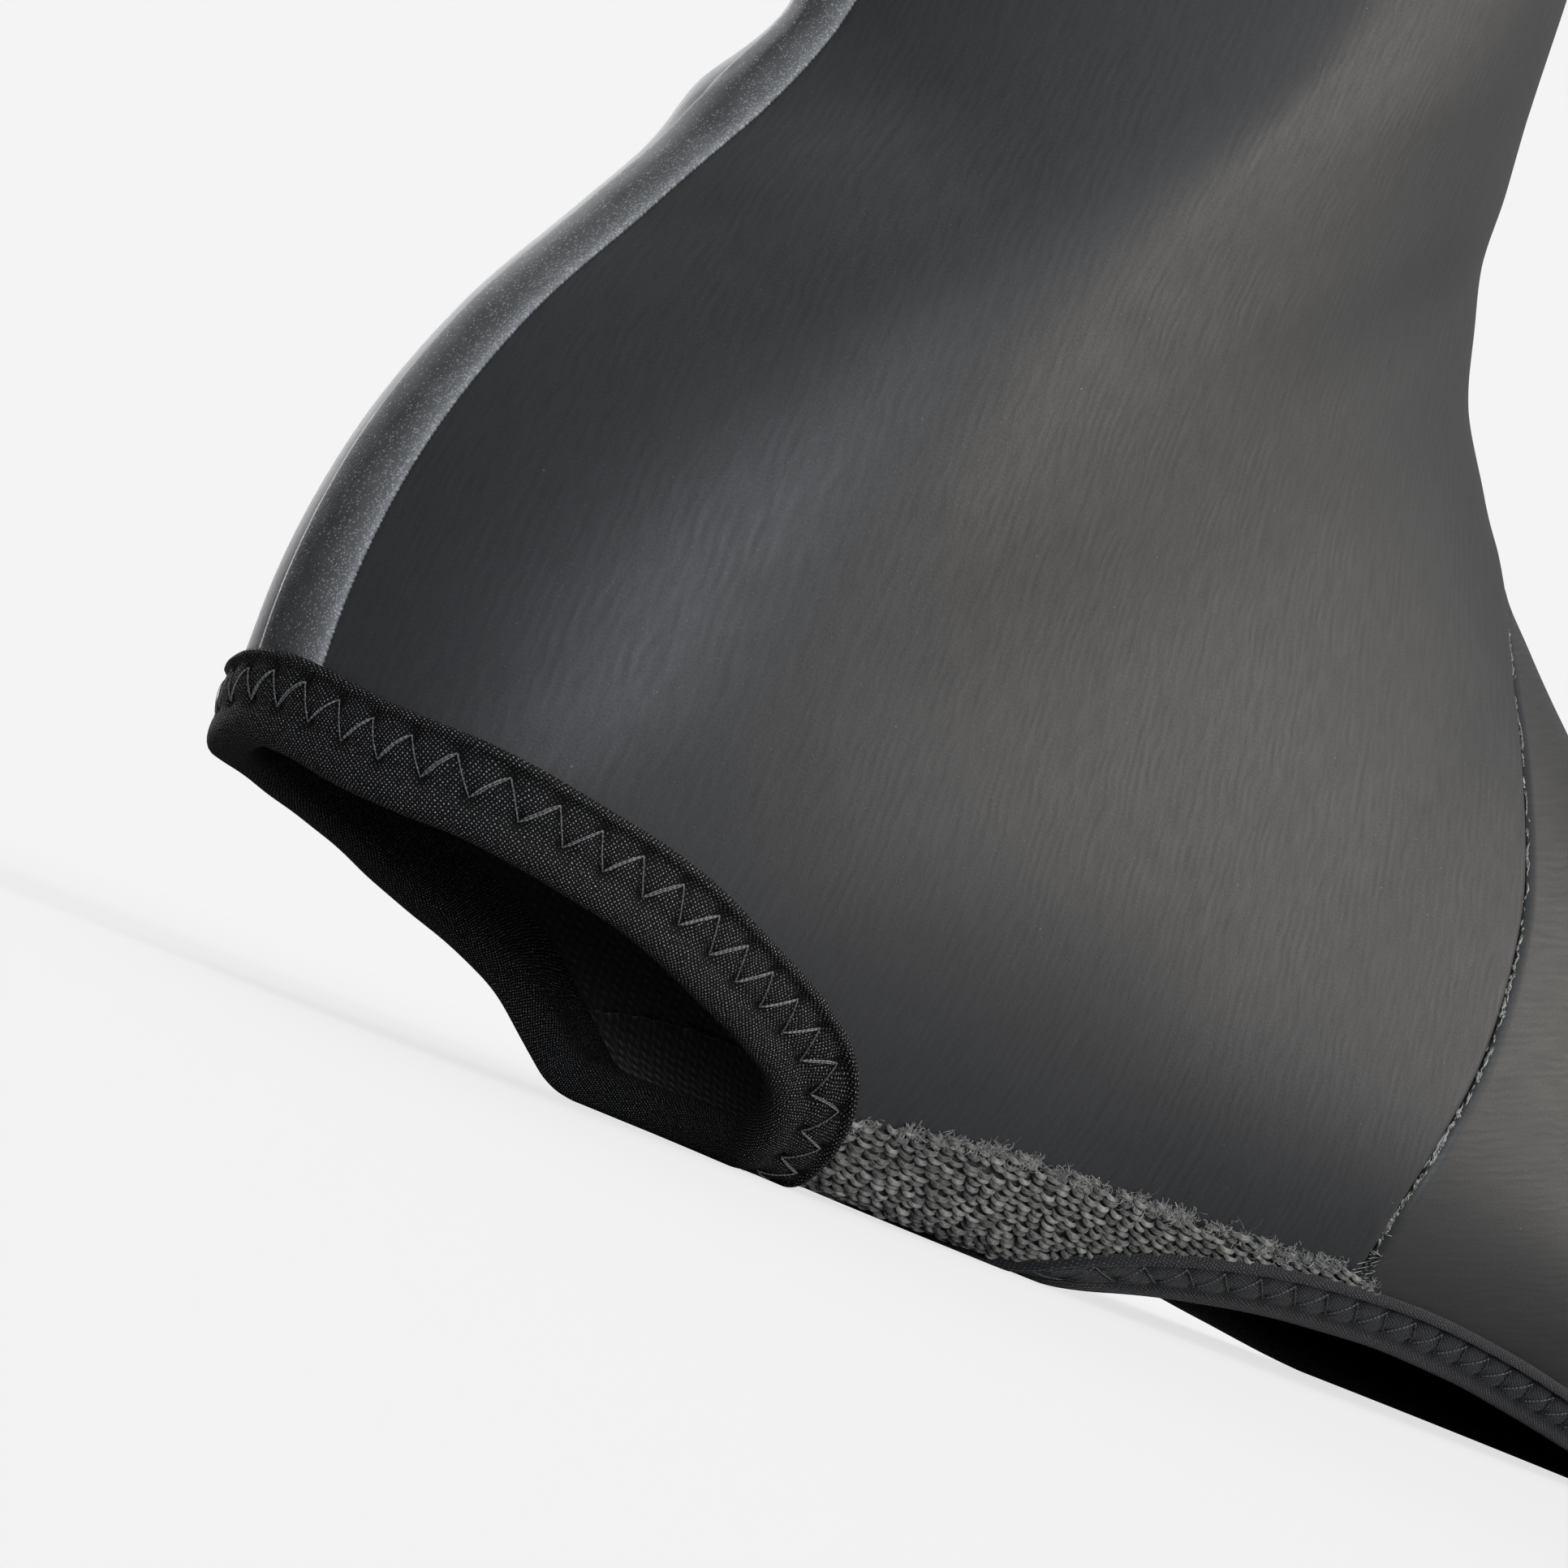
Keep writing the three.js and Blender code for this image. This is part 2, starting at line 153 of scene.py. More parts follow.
# Creases, in mm: height (troughs are below 0), half width, then station and angle.
creases = [
    (1.5, 5.5, [(17.95, 10), (18.0, 24), (17.9, 42), (17.6, 60)]),
    (-1.0, 5.0, [(18.75, -4), (18.8, 12), (18.8, 30), (18.5, 55)]),
    (-0.6, 8.0, [(18.6, -3), (18.2, -20), (17.5, -42), (16.7, -62)]),
    (0.4, 8.0, [(17.7, -6), (17.1, -26), (16.3, -48), (15.4, -68)]),
    (-0.8, 13.0, [(12.9, -72), (12.6, -88), (12.4, -104), (12.3, -122)]),
    (0.6, 12.0, [(14.3, -60), (14.1, -80), (13.9, -100)]),
    (0.9, 6.0, [(10.7, 128), (10.65, 150), (10.6, 180), (10.65, 210), (10.7, 232)]),
    (1.1, 4.5, [(9.75, 132), (9.6, 156), (9.6, 180), (9.6, 204), (9.75, 228)]),
    (-0.9, 4.0, [(9.22, 140), (9.2, 160), (9.2, 180), (9.2, 200), (9.22, 220)]),
    (-0.7, 7.0, [(7.3, 96), (7.25, 130), (7.2, 180), (7.25, 230), (7.3, 264)]),
    (0.5, 6.0, [(6.7, 100), (6.6, 140), (6.6, 180), (6.6, 220), (6.7, 260)]),
    (-0.5, 6.0, [(5.9, 96), (5.8, 140), (5.8, 180), (5.8, 220), (5.9, 264)]),
    (-0.8, 8.0, [(20.3, 120), (20.0, 150), (19.8, 180), (20.0, 210), (20.3, 240)]),
    (-0.7, 12.0, [(13.0, 70), (12.7, 90), (12.5, 112)]),
    (-0.9, 9.0, [(18.1, 48), (17.2, 68), (16.4, 84)]),
    (0.5, 12.0, [(20.8, -96), (19.6, -84), (18.4, -88)]),
    (-0.5, 10.0, [(21.4, -60), (20.2, -52), (19.0, -58)]),
]


def creaseGrid(stationCount=370, angleCount=260):
    station = np.linspace(0, collarStation, stationCount)[:, None]
    angle = np.linspace(-np.pi, np.pi, angleCount)[None]
    points = lastPoint(station, angle).reshape(-1, 3)
    rise = np.zeros(len(points))
    for height, width, table in creases:
        route = between(np.array(table, float), np.linspace(0, len(table) - 1, 28))
        line = lastPoint(route[:, 0], np.radians(route[:, 1]))
        near = (points > line.min(0) - 3 * width).all(-1) & (points < line.max(0) + 3 * width).all(-1)
        distance = np.linalg.norm(points[near][:, None] - line[None], axis=-1)
        nearest = distance.argmin(1) / (len(line) - 1)
        taper = np.sin(np.pi * np.clip(nearest * 0.86 + 0.07, 0, 1)) ** 0.8
        rise[near] += height * np.exp(-(distance.min(1) / width) ** 2) * taper
    return rise.reshape(stationCount, angleCount)


creaseTable = creaseGrid()


def creaseRise(station, angle):
    turn = (np.asarray(angle, float) + np.pi) % (2 * np.pi) / (2 * np.pi) * (creaseTable.shape[1] - 1)
    row = np.clip(np.asarray(station, float) / collarStation, 0, 1) * (creaseTable.shape[0] - 1)
    i = np.minimum(row.astype(int), creaseTable.shape[0] - 2)
    j = np.minimum(turn.astype(int), creaseTable.shape[1] - 2)
    a, b = row - i, turn - j
    return ((1 - a) * ((1 - b) * creaseTable[i, j] + b * creaseTable[i, j + 1])
            + a * ((1 - b) * creaseTable[i + 1, j] + b * creaseTable[i + 1, j + 1]))


def formPoint(station, angle, off=0.0):
    return lastPoint(station, angle) + outward(station, angle) * (off + creaseRise(station, angle))[..., None]


def walk(station, angle, direction, distance, stepLength=1.6):
    station, angle = np.array(station, float), np.array(angle, float)
    steps = max(int(math.ceil(np.max(np.abs(distance)) / stepLength)), 1)
    for _ in range(steps):
        along, around = faceDirections(station, angle)
        normal = unit(np.cross(along, around))
        heading = unit(direction - normal * (direction * normal).sum(-1, keepdims=True))
        aa, ar, rr = (along * along).sum(-1), (along * around).sum(-1), (around * around).sum(-1)
        ha, hr = (heading * along).sum(-1), (heading * around).sum(-1)
        scale = distance / steps / (aa * rr - ar * ar)
        station = station + (ha * rr - hr * ar) * scale
        angle = angle + (hr * aa - ha * ar) * scale
    return station, angle


def closedBorder(table):
    one = [(s, math.radians(a)) for s, a in table]
    return np.array(one + [(s, -a) for s, a in one[1:-1][::-1]])


def evenLoop(table, step):
    # Places round a border, evenly spaced in mm, and its length.
    loop = closedBorder(table)
    fine = between(loop, np.linspace(0, len(loop), 1600, endpoint=False), closed=True)
    fine = np.concatenate([fine, fine[:1]])
    travelled = lengthAlong(lastPoint(fine[:, 0], fine[:, 1]))
    marks = np.linspace(0, travelled[-1], int(round(travelled[-1] / step)), endpoint=False)
    return np.stack([np.interp(marks, travelled, fine[:, k]) for k in (0, 1)], -1), travelled[-1]


def borderDistance(table, station, angle):
    # Distance over the face from a border in mm, above 0 outside it.
    loop, _ = evenLoop(table, 1.5)
    line = lastPoint(loop[:, 0], loop[:, 1])
    points = lastPoint(station, angle)
    shape, points = station.shape, points.reshape(-1, 3)
    s, a = station.reshape(-1), angle.reshape(-1)
    best = np.full(len(points), 1e9)
    for start in range(0, len(points), 20000):
        part = slice(start, start + 20000)
        best[part] = np.sqrt(((points[part, None] - line[None]) ** 2).sum(-1).min(1))
    inside = np.zeros(len(points), bool)
    for (s0, a0), (s1, a1) in zip(loop, np.roll(loop, -1, 0)):
        crosses = (a0 > a) != (a1 > a)
        inside ^= crosses & (s < (s1 - s0) * (a - a0) / (a1 - a0 if a1 != a0 else 1e-12) + s0)
    return np.where(inside, -best, best).reshape(shape)


def clearOfRims(station, angle):
    # distance from the nearer of the two openings' rims
    return np.minimum(borderDistance(heelRim, station, angle), borderDistance(cleatRim, station, angle))


def cutFaces(faces, keep):
    # Cuts quads where keep falls below 0. Gives polygons and the new corners as (a, b, share) of edges.
    whole = (keep[faces] >= 0).all(1)
    crossed = (keep[faces] >= 0).any(1) & ~whole
    polygons, extra, made = faces[whole].tolist(), [], {}
    for face in faces[crossed].tolist():
        polygon = []
        for a, b in zip(face, face[1:] + face[:1]):
            if keep[a] >= 0:
                polygon.append(a)
            if (keep[a] >= 0) != (keep[b] >= 0):
                edge = (min(a, b), max(a, b))
                if edge not in made:
                    share = float(np.clip(keep[edge[0]] / (keep[edge[0]] - keep[edge[1]]), 0.04, 0.96))
                    made[edge] = len(keep) + len(extra)
                    extra.append((*edge, share))
                polygon.append(made[edge])
        if len(polygon) > 2:
            polygons.append(polygon)
    return polygons, extra


def addCorners(extra, *arrays):
    # Each array with a row more for every new corner, mixed from the two ends of the edge it lies on.
    a, b, share = (np.array(column) for column in zip(*extra))
    share = share[:, None]
    return [np.concatenate([array, array[a] * (1 - share) + array[b] * share]) for array in arrays]


def newMesh(name, points, faces, uv=None, cornerUv=None, values=None, faceSlots=None):
    # points in mm; uv in mm for each point or each corner; values are named numbers for each point.
    mesh = bpy.data.meshes.new(name)
    faces = faces if isinstance(faces, list) else faces.tolist()
    mesh.from_pydata((np.asarray(points) / 1000).tolist(), [], faces)
    if uv is not None or cornerUv is not None:
        layer = mesh.uv_layers.new(name="cloth")
        if cornerUv is None:
            corners = np.zeros(len(mesh.loops), int)
            mesh.loops.foreach_get("vertex_index", corners)
            cornerUv = np.asarray(uv)[corners]
        layer.data.foreach_set("uv", np.asarray(cornerUv, np.float32).reshape(-1))
    for label, numbers in (values or {}).items():
        attribute = mesh.attributes.new(label, "FLOAT", "POINT")
        attribute.data.foreach_set("value", np.asarray(numbers, np.float32))
    if faceSlots is not None:
        mesh.polygons.foreach_set("material_index", np.asarray(faceSlots, np.int32))
    mesh.polygons.foreach_set("use_smooth", np.ones(len(mesh.polygons), bool))
    mesh.update()
    piece = bpy.data.objects.new(name, mesh)
    bpy.context.scene.collection.objects.link(piece)
    return piece


def finishPiece(piece, materials, node=None):
    for material in materials:
        piece.data.materials.append(material)
    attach(piece, "root")
    if node:
        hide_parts(node)
    return piece


def gridFaces(rows, columns, closedRows=False, closedColumns=False):
    i = np.arange(rows if closedRows else rows - 1)[:, None]
    j = np.arange(columns if closedColumns else columns - 1)[None]
    a = i * columns + j
    b = i * columns + (j + 1) % columns
    c = (i + 1) % rows * columns + (j + 1) % columns
    d = (i + 1) % rows * columns + j
    return np.stack(np.broadcast_arrays(a, b, c, d), -1).reshape(-1, 4)


def tubes(name, centres, normals, radius, sides=6, values=None, uvPitch=1.0):
    # Many closed tubes as one mesh. centres and normals are (tubes, rings, 3), radius (tubes, rings).
    count, rings, _ = centres.shape
    radius = np.broadcast_to(radius, (count, rings))
    tangent = unit(np.gradient(centres, axis=1))
    side = unit(np.cross(tangent, normals))
    up = np.cross(side, tangent)
    turn = np.arange(sides) * 2 * np.pi / sides
    ring = (side[:, :, None] * np.cos(turn)[:, None] + up[:, :, None] * np.sin(turn)[:, None])
    points = centres[:, :, None] + ring * radius[:, :, None, None]
    base = gridFaces(rings, sides, closedColumns=True)
    starts = (np.arange(count) * rings * sides)[:, None, None]
    walls = (base[None] + starts).reshape(-1, 4)
    caps = np.stack([np.arange(sides)[::-1], np.arange(sides) + (rings - 1) * sides])
    caps = (caps[None] + starts).reshape(-1, sides)
    distance = np.concatenate([
        np.zeros((count, 1)), np.cumsum(np.linalg.norm(np.diff(centres, axis=1), axis=-1), 1)], 1)
    uv = np.stack(np.broadcast_arrays(distance[:, :, None], turn[None, None] * uvPitch / (2 * np.pi)), -1)
    named = {key: np.repeat(value, rings * sides) for key, value in (values or {}).items()}
    faces = walls.tolist() + caps.tolist()
    return newMesh(name, points.reshape(-1, 3), faces, uv=uv.reshape(-1, 2), values=named)


print("last ready, deepest crease", round(float(creaseTable.min()), 2), "mm")


def feed(tree, node, inputs):
    # Inputs are numbers, vectors or the sockets of other nodes.
    for key, value in inputs.items():
        if isinstance(value, bpy.types.NodeSocket):
            tree.links.new(value, node.inputs[key])
        else:
            node.inputs[key].default_value = value


def put(tree, kind, settings=None, inputs=None, out=0):
    # Adds a node and gives one of its outputs.
    node = tree.nodes.new("ShaderNode" + kind)
    for key, value in (settings or {}).items():
        setattr(node, key, value)
    feed(tree, node, inputs or {})
    return node.outputs[out]


def maths(tree, operation, a, b=0.0):
    return put(tree, "Math", {"operation": operation}, {0: a, 1: b})


def noise(tree, vector, scale, detail=2.0, roughness=0.5):
    return put(tree, "TexNoise", None, {
        "Vector": vector, "Scale": scale, "Detail": detail, "Roughness": roughness})


def remap(tree, value, low, high, toLow=0.0, toHigh=1.0):
    return put(tree, "MapRange", {"clamp": True}, {
        "Value": value, "From Min": low, "From Max": high, "To Min": toLow, "To Max": toHigh})


def newGroup(name, inputs, outputs):
    tree = bpy.data.node_groups.new(name, "ShaderNodeTree")
    for label, kind, value in inputs:
        socket = tree.interface.new_socket(name=label, in_out="INPUT", socket_type=kind)
        if value is not None:
            socket.default_value = value
    for label in outputs:
        tree.interface.new_socket(name=label, in_out="OUTPUT", socket_type="NodeSocketFloat")
    return tree, tree.nodes.new("NodeGroupInput"), tree.nodes.new("NodeGroupOutput")


def makeStreaks():
    # The crinkled grain of the coating: fine wavy lines that run along the second coordinate.
    tree, start, end = newGroup("coatingGrain", [
        ("Cloth", "NodeSocketVector", None), ("Pitch", "NodeSocketFloat", 1.0),
        ("Run", "NodeSocketFloat", 9.0), ("Waviness", "NodeSocketFloat", 1.0)], ["Height", "Tone", "Speckle"])
    cloth = start.outputs["Cloth"]
    sway = maths(tree, "MULTIPLY", maths(tree, "SUBTRACT", noise(tree, cloth, 0.16, 2.0), 0.5),
                 maths(tree, "MULTIPLY", start.outputs["Waviness"], 1.6))
    shifted = put(tree, "VectorMath", {"operation": "ADD"}, {
        0: cloth, 1: put(tree, "CombineXYZ", None, {"X": sway})})
    squeeze = put(tree, "CombineXYZ", None, {
        "X": maths(tree, "DIVIDE", 1.0, start.outputs["Pitch"]),
        "Y": maths(tree, "DIVIDE", 1.0, start.outputs["Run"]), "Z": 1.0})
    stretched = put(tree, "VectorMath", {"operation": "MULTIPLY"}, {0: shifted, 1: squeeze})
    lines = noise(tree, stretched, 1.4, 2.5, 0.62)
    across = put(tree, "SeparateXYZ", None, {"Vector": stretched})
    wave = maths(tree, "SINE", maths(tree, "ADD", maths(tree, "MULTIPLY", across, 2 * math.pi),
                                     maths(tree, "MULTIPLY", lines, 3.4)))
    strength = remap(tree, noise(tree, cloth, 0.16, 2.0), 0.38, 0.66, 0.1, 1.0)
    ribs = maths(tree, "MULTIPLY", wave, maths(tree, "MULTIPLY", strength, 0.13))
    fine = noise(tree, cloth, 4.2, 2.0, 0.6)
    height = maths(tree, "ADD", maths(tree, "ADD", maths(tree, "MULTIPLY", lines, 0.5), ribs),
                   maths(tree, "MULTIPLY", fine, 0.5))
    tree.links.new(height, end.inputs["Height"])
    streaks = maths(tree, "MULTIPLY", maths(tree, "SUBTRACT", lines, 0.5), 1.1)
    tone = maths(tree, "ADD", maths(tree, "ADD", ribs, streaks), maths(tree, "MULTIPLY", fine, 1.3))
    tree.links.new(remap(tree, tone, 0.3, 1.0), end.inputs["Tone"])
    cells = put(tree, "TexVoronoi", {"feature": "F1"}, {"Vector": cloth, "Scale": 2.6, "Randomness": 1.0})
    drawn = put(tree, "TexNoise", None, {"Vector": cloth, "Scale": 3.1, "Detail": 0.0})
    speck = maths(tree, "MULTIPLY", remap(tree, cells, 0.16, 0.06), remap(tree, drawn, 0.5, 0.62))
    tree.links.new(speck, end.inputs["Speckle"])
    return tree


def makeKnitDots():
    # Fine elastic knit: rows of tiny raised loops on a slanted lattice.
    tree, start, end = newGroup("elasticKnit", [
        ("Cloth", "NodeSocketVector", None), ("Pitch", "NodeSocketFloat", 0.3),
        ("Ribs", "NodeSocketFloat", 0.0)], ["Height", "Tone"])
    cloth, ribs = start.outputs["Cloth"], start.outputs["Ribs"]
    parts = tree.nodes.new("ShaderNodeSeparateXYZ")
    wobble = put(tree, "TexNoise", None, {"Vector": cloth, "Scale": 0.7, "Detail": 2.0}, out=1)
    nudge = put(tree, "VectorMath", {"operation": "SCALE"}, {
        0: put(tree, "VectorMath", {"operation": "SUBTRACT"}, {0: wobble, 1: (0.5, 0.5, 0.5)}), "Scale": 0.5})
    moved = put(tree, "VectorMath", {"operation": "ADD"}, {0: cloth, 1: nudge})
    tree.links.new(moved, parts.inputs[0])
    turn = maths(tree, "DIVIDE", 2 * math.pi, start.outputs["Pitch"])
    u = maths(tree, "MULTIPLY", parts.outputs[0], turn)
    v = maths(tree, "MULTIPLY", parts.outputs[1], turn)
    slant = maths(tree, "SINE", maths(
        tree, "ADD", maths(tree, "MULTIPLY", u, 0.5), maths(tree, "MULTIPLY", v, 0.86)))
    steep = maths(tree, "SINE", maths(
        tree, "SUBTRACT", maths(tree, "MULTIPLY", u, 0.86), maths(tree, "MULTIPLY", v, 0.36)))
    dots = maths(tree, "MULTIPLY", remap(tree, slant, -1, 1), remap(tree, steep, -1, 1))
    lines = remap(tree, maths(tree, "SINE", maths(tree, "MULTIPLY", v, 0.95)), -1, 1)
    dotShare = maths(tree, "SUBTRACT", 1.0, maths(tree, "MULTIPLY", ribs, 0.6))
    mixed = maths(tree, "ADD", maths(tree, "MULTIPLY", dots, dotShare), maths(tree, "MULTIPLY", lines, ribs))
    tree.links.new(mixed, end.inputs["Height"])
    # painted highlight: Tone lights the tops of the dots in the colour, each dot by a random amount
    glint = remap(tree, noise(tree, cloth, 3.3, 1.0), 0.35, 0.65, 0.12, 1.0)
    tree.links.new(maths(tree, "MULTIPLY", remap(tree, dots, 0.5, 0.88), glint), end.inputs["Tone"])
    return tree


def makeDust():
    # Sparse pale dust and lint, and broad uneven patches.
    tree, start, end = newGroup("dustAndPatches", [
        ("Cloth", "NodeSocketVector", None), ("Amount", "NodeSocketFloat", 0.5)], ["Dust", "Patches"])
    cloth = start.outputs["Cloth"]
    cells = put(tree, "TexVoronoi", {"feature": "F1"}, {"Vector": cloth, "Scale": 0.45, "Randomness": 1.0})
    few = remap(tree, noise(tree, cloth, 0.5, 1.0), 0.52, 0.6)
    grains = maths(tree, "MULTIPLY", remap(tree, cells, 0.05, 0.02), few)
    dust = maths(tree, "MULTIPLY", grains, start.outputs["Amount"])
    tree.links.new(dust, end.inputs["Dust"])
    tree.links.new(noise(tree, cloth, 0.018, 2.0, 0.5), end.inputs["Patches"])
    return tree


streakGroup, knitGroup, dustGroup = makeStreaks(), makeKnitDots(), makeDust()


def newMaterial(name, roughness, **sockets):
    # A material with its Principled shader; what is the same all over is set on the shader's sockets.
    material = bpy.data.materials.new(name)
    material.use_nodes = True
    tree = material.node_tree
    shader = next(n for n in tree.nodes if n.type == "BSDF_PRINCIPLED")
    shader.inputs["Roughness"].default_value = roughness
    for label, value in sockets.items():
        shader.inputs[label.replace("_", " ")].default_value = value
    cloth = put(tree, "UVMap", {"uv_map": "cloth"})
    return material, tree, shader, cloth


def placeGroup(tree, group, inputs):
    node = tree.nodes.new("ShaderNodeGroup")
    node.node_tree = group
    feed(tree, node, inputs)
    return node


def blendColours(tree, share, first, second):
    mix = tree.nodes.new("ShaderNodeMix")
    mix.data_type = "RGBA"
    tree.links.new(share, mix.inputs[0])
    for socket, value in ((mix.inputs[6], first), (mix.inputs[7], second)):
        if isinstance(value, bpy.types.NodeSocket):
            tree.links.new(value, socket)
        else:
            socket.default_value = (*value, 1)
    return mix.outputs[2]


def bump(tree, height, distance, strength):
    return put(tree, "Bump", None, {"Height": height, "Distance": distance / 1000, "Strength": strength})


def coatedFabric(name, dark, light, pitch, run):
    # Satin coated stretch fabric with a crinkled grain.
    material, tree, shader, cloth = newMaterial(
        name, 0.5, Specular_IOR_Level=0.42, Sheen_Weight=0.04, Sheen_Roughness=0.5)
    grain = placeGroup(tree, streakGroup, {"Cloth": cloth, "Pitch": pitch, "Run": run, "Waviness": 1.0})
    dust = placeGroup(tree, dustGroup, {"Cloth": cloth, "Amount": 0.5})
    tone = blendColours(tree, grain.outputs["Tone"], dark, light)
    patched = blendColours(tree, remap(tree, dust.outputs["Patches"], 0.35, 0.7, 0.0, 0.35), tone,
                           tuple(c * 1.35 for c in light))
    specks = maths(tree, "MULTIPLY", grain.outputs["Speckle"], 0.5)
    speckled = blendColours(tree, specks, patched, (0.17, 0.17, 0.175))
    dusted = blendColours(tree, dust.outputs["Dust"], speckled, (0.25, 0.25, 0.25))
    tree.links.new(dusted, shader.inputs["Base Color"])
    rough = maths(tree, "ADD", remap(tree, grain.outputs["Tone"], 0.0, 1.0, 0.56, 0.46), remap(
        tree, dust.outputs["Patches"], 0.3, 0.7, -0.03, 0.04))
    tree.links.new(rough, shader.inputs["Roughness"])
    tree.links.new(bump(tree, grain.outputs["Height"], 0.045, 0.8), shader.inputs["Normal"])
    return material


def liningJersey():
    material, tree, shader, cloth = newMaterial("liningJersey", 0.92, Sheen_Weight=0.5, Sheen_Roughness=0.4)
    knit = placeGroup(tree, knitGroup, {"Cloth": cloth, "Pitch": 1.0, "Ribs": 0.5})
    # painted shade: the knit's low parts darker and its raised loops lighter
    colour = blendColours(tree, knit.outputs["Height"], (0.006, 0.006, 0.007), (0.026, 0.026, 0.028))
    tree.links.new(colour, shader.inputs["Base Color"])
    tree.links.new(bump(tree, knit.outputs["Height"], 0.16, 0.8), shader.inputs["Normal"])
    return material


def elasticBinding(name, base, glint, specular, sheen):
    # Black elastic knit with painted glints on its dots. On the mesh, ribbed turns the dots to lines, and a
    # painted shade darkens the valleys and the dimples where the stitches pull it in.
    material, tree, shader, cloth = newMaterial(name, 0.72, Specular_IOR_Level=specular, Sheen_Weight=sheen)
    ribbed = put(tree, "Attribute", {"attribute_name": "ribbed"}, out=2)
    knit = placeGroup(tree, knitGroup, {"Cloth": cloth, "Pitch": 0.30, "Ribs": ribbed})
    dust = placeGroup(tree, dustGroup, {"Cloth": cloth, "Amount": 0.5})
    # painted glints: the colour goes pale on the tops of the dots
    colour = blendColours(tree, knit.outputs["Tone"], base, glint)
    # painted shade: the deeper the elastic is pulled in, the nearer its colour goes to black
    paintedHollowShade = put(tree, "Attribute", {"attribute_name": "paintedHollowShade"}, out=2)
    colour = blendColours(tree, maths(tree, "MULTIPLY", paintedHollowShade, 0.92), colour, (0.001, 0.001, 0.001))
    colour = blendColours(tree, dust.outputs["Dust"], colour, (0.2, 0.2, 0.2))
    tree.links.new(colour, shader.inputs["Base Color"])
    tree.links.new(remap(tree, knit.outputs["Tone"], 0, 1, 0.8, 0.5), shader.inputs["Roughness"])
    tree.links.new(bump(tree, knit.outputs["Height"], 0.11, 0.9), shader.inputs["Normal"])
    return material


def beadTape():
    material, tree, shader, cloth = newMaterial("beadTape", 0.42, Specular_IOR_Level=0.16)
    size = {"Vector": cloth, "Scale": 4.6, "Randomness": 1.0}
    beads = put(tree, "TexVoronoi", {"feature": "F1"}, size)
    chosen = put(tree, "SeparateColor", None, {0: put(tree, "TexVoronoi", {"feature": "F1"}, size, out=1)})
    across = put(tree, "SeparateXYZ", None, {"Vector": cloth})
    # painted highlight: the colour grows lighter, and the bead glints more frequent, towards the edge that
    # the lamp meets, standing in for the beads throwing the light back
    paintedLampEdge = maths(tree, "POWER", remap(tree, across, 3.0, -5.7), 2.2)
    needed = remap(tree, paintedLampEdge, 0.0, 1.0, 0.86, 0.1)
    # painted glints: single beads turned pale in the colour, most of them near the lamp's edge
    paintedBeadGlints = maths(tree, "MULTIPLY", remap(tree, beads, 0.5, 0.25), remap(
        tree, maths(tree, "SUBTRACT", chosen, needed), 0.0, 0.15))
    # the tape's tone: mostly the painted light of the lamp's edge, with a little random cloudiness
    cloudy = maths(tree, "ADD", maths(tree, "MULTIPLY", paintedLampEdge, 0.8), remap(
        tree, noise(tree, cloth, 0.25, 3.0, 0.6), 0.3, 0.7, 0.0, 0.2))
    base = blendColours(tree, cloudy, (0.042, 0.043, 0.045), (0.25, 0.255, 0.264))
    tree.links.new(blendColours(tree, maths(tree, "MULTIPLY", paintedBeadGlints, 0.8), base, (0.56, 0.565, 0.575)),
                   shader.inputs["Base Color"])
    tree.links.new(remap(tree, paintedBeadGlints, 0, 1, 0.5, 0.3), shader.inputs["Roughness"])
    tree.links.new(bump(tree, remap(tree, beads, 0.0, 0.6, 1.0, 0.0), 0.05, 0.8), shader.inputs["Normal"])
    return material


def knitYarn(name, loopLength, dark, light):
    # Coarse yarn: the tone drawn on each loop lightens it, and fine fibres run along it. A painted highlight
    # lightens each loop's middle, and painted shade darkens its ends where it dives under its neighbours.
    material, tree, shader, cloth = newMaterial(name, 0.62, Specular_IOR_Level=0.45, Sheen_Weight=0.3)
    tone = put(tree, "Attribute", {"attribute_name": "tone"}, out=2)
    squeeze = put(tree, "VectorMath", {"operation": "MULTIPLY"}, {0: cloth, 1: (0.9, 5.0, 1.0)})
    fibres = noise(tree, squeeze, 2.2, 2.0, 0.65)
    share = maths(tree, "ADD", maths(tree, "MULTIPLY", tone, 0.75), remap(
        tree, fibres, 0.35, 0.7, -0.3, 0.55))
    along = put(tree, "SeparateXYZ", None, {"Vector": cloth})
    # painted highlight and shade: lighter in the middle of each loop, darker at its ends
    middle = maths(tree, "SINE", maths(tree, "MULTIPLY", along, math.pi / (loopLength * 1.15)))
    share = maths(tree, "MULTIPLY", share, remap(tree, middle, 0.0, 1.0, 0.1, 1.2))
    tree.links.new(blendColours(tree, share, dark, light), shader.inputs["Base Color"])
    tree.links.new(bump(tree, fibres, 0.16, 0.9), shader.inputs["Normal"])
    return material


def stitchThread(name, dark, light, roughness):
    material, tree, shader, cloth = newMaterial(name, roughness, Specular_IOR_Level=0.6)
    along = put(tree, "SeparateXYZ", None, {"Vector": cloth})
    twist = maths(tree, "SINE", maths(tree, "MULTIPLY", along, 14.0))
    # partly painted highlight: the colour lightens on the crests of the twist; the noise adds random tone
    share = maths(tree, "ADD", remap(tree, twist, -1, 1, 0.0, 0.5), remap(
        tree, noise(tree, cloth, 1.3), 0.3, 0.7, 0.0, 0.5))
    tree.links.new(blendColours(tree, share, dark, light), shader.inputs["Base Color"])
    tree.links.new(bump(tree, twist, 0.03, 0.8), shader.inputs["Normal"])
    return material


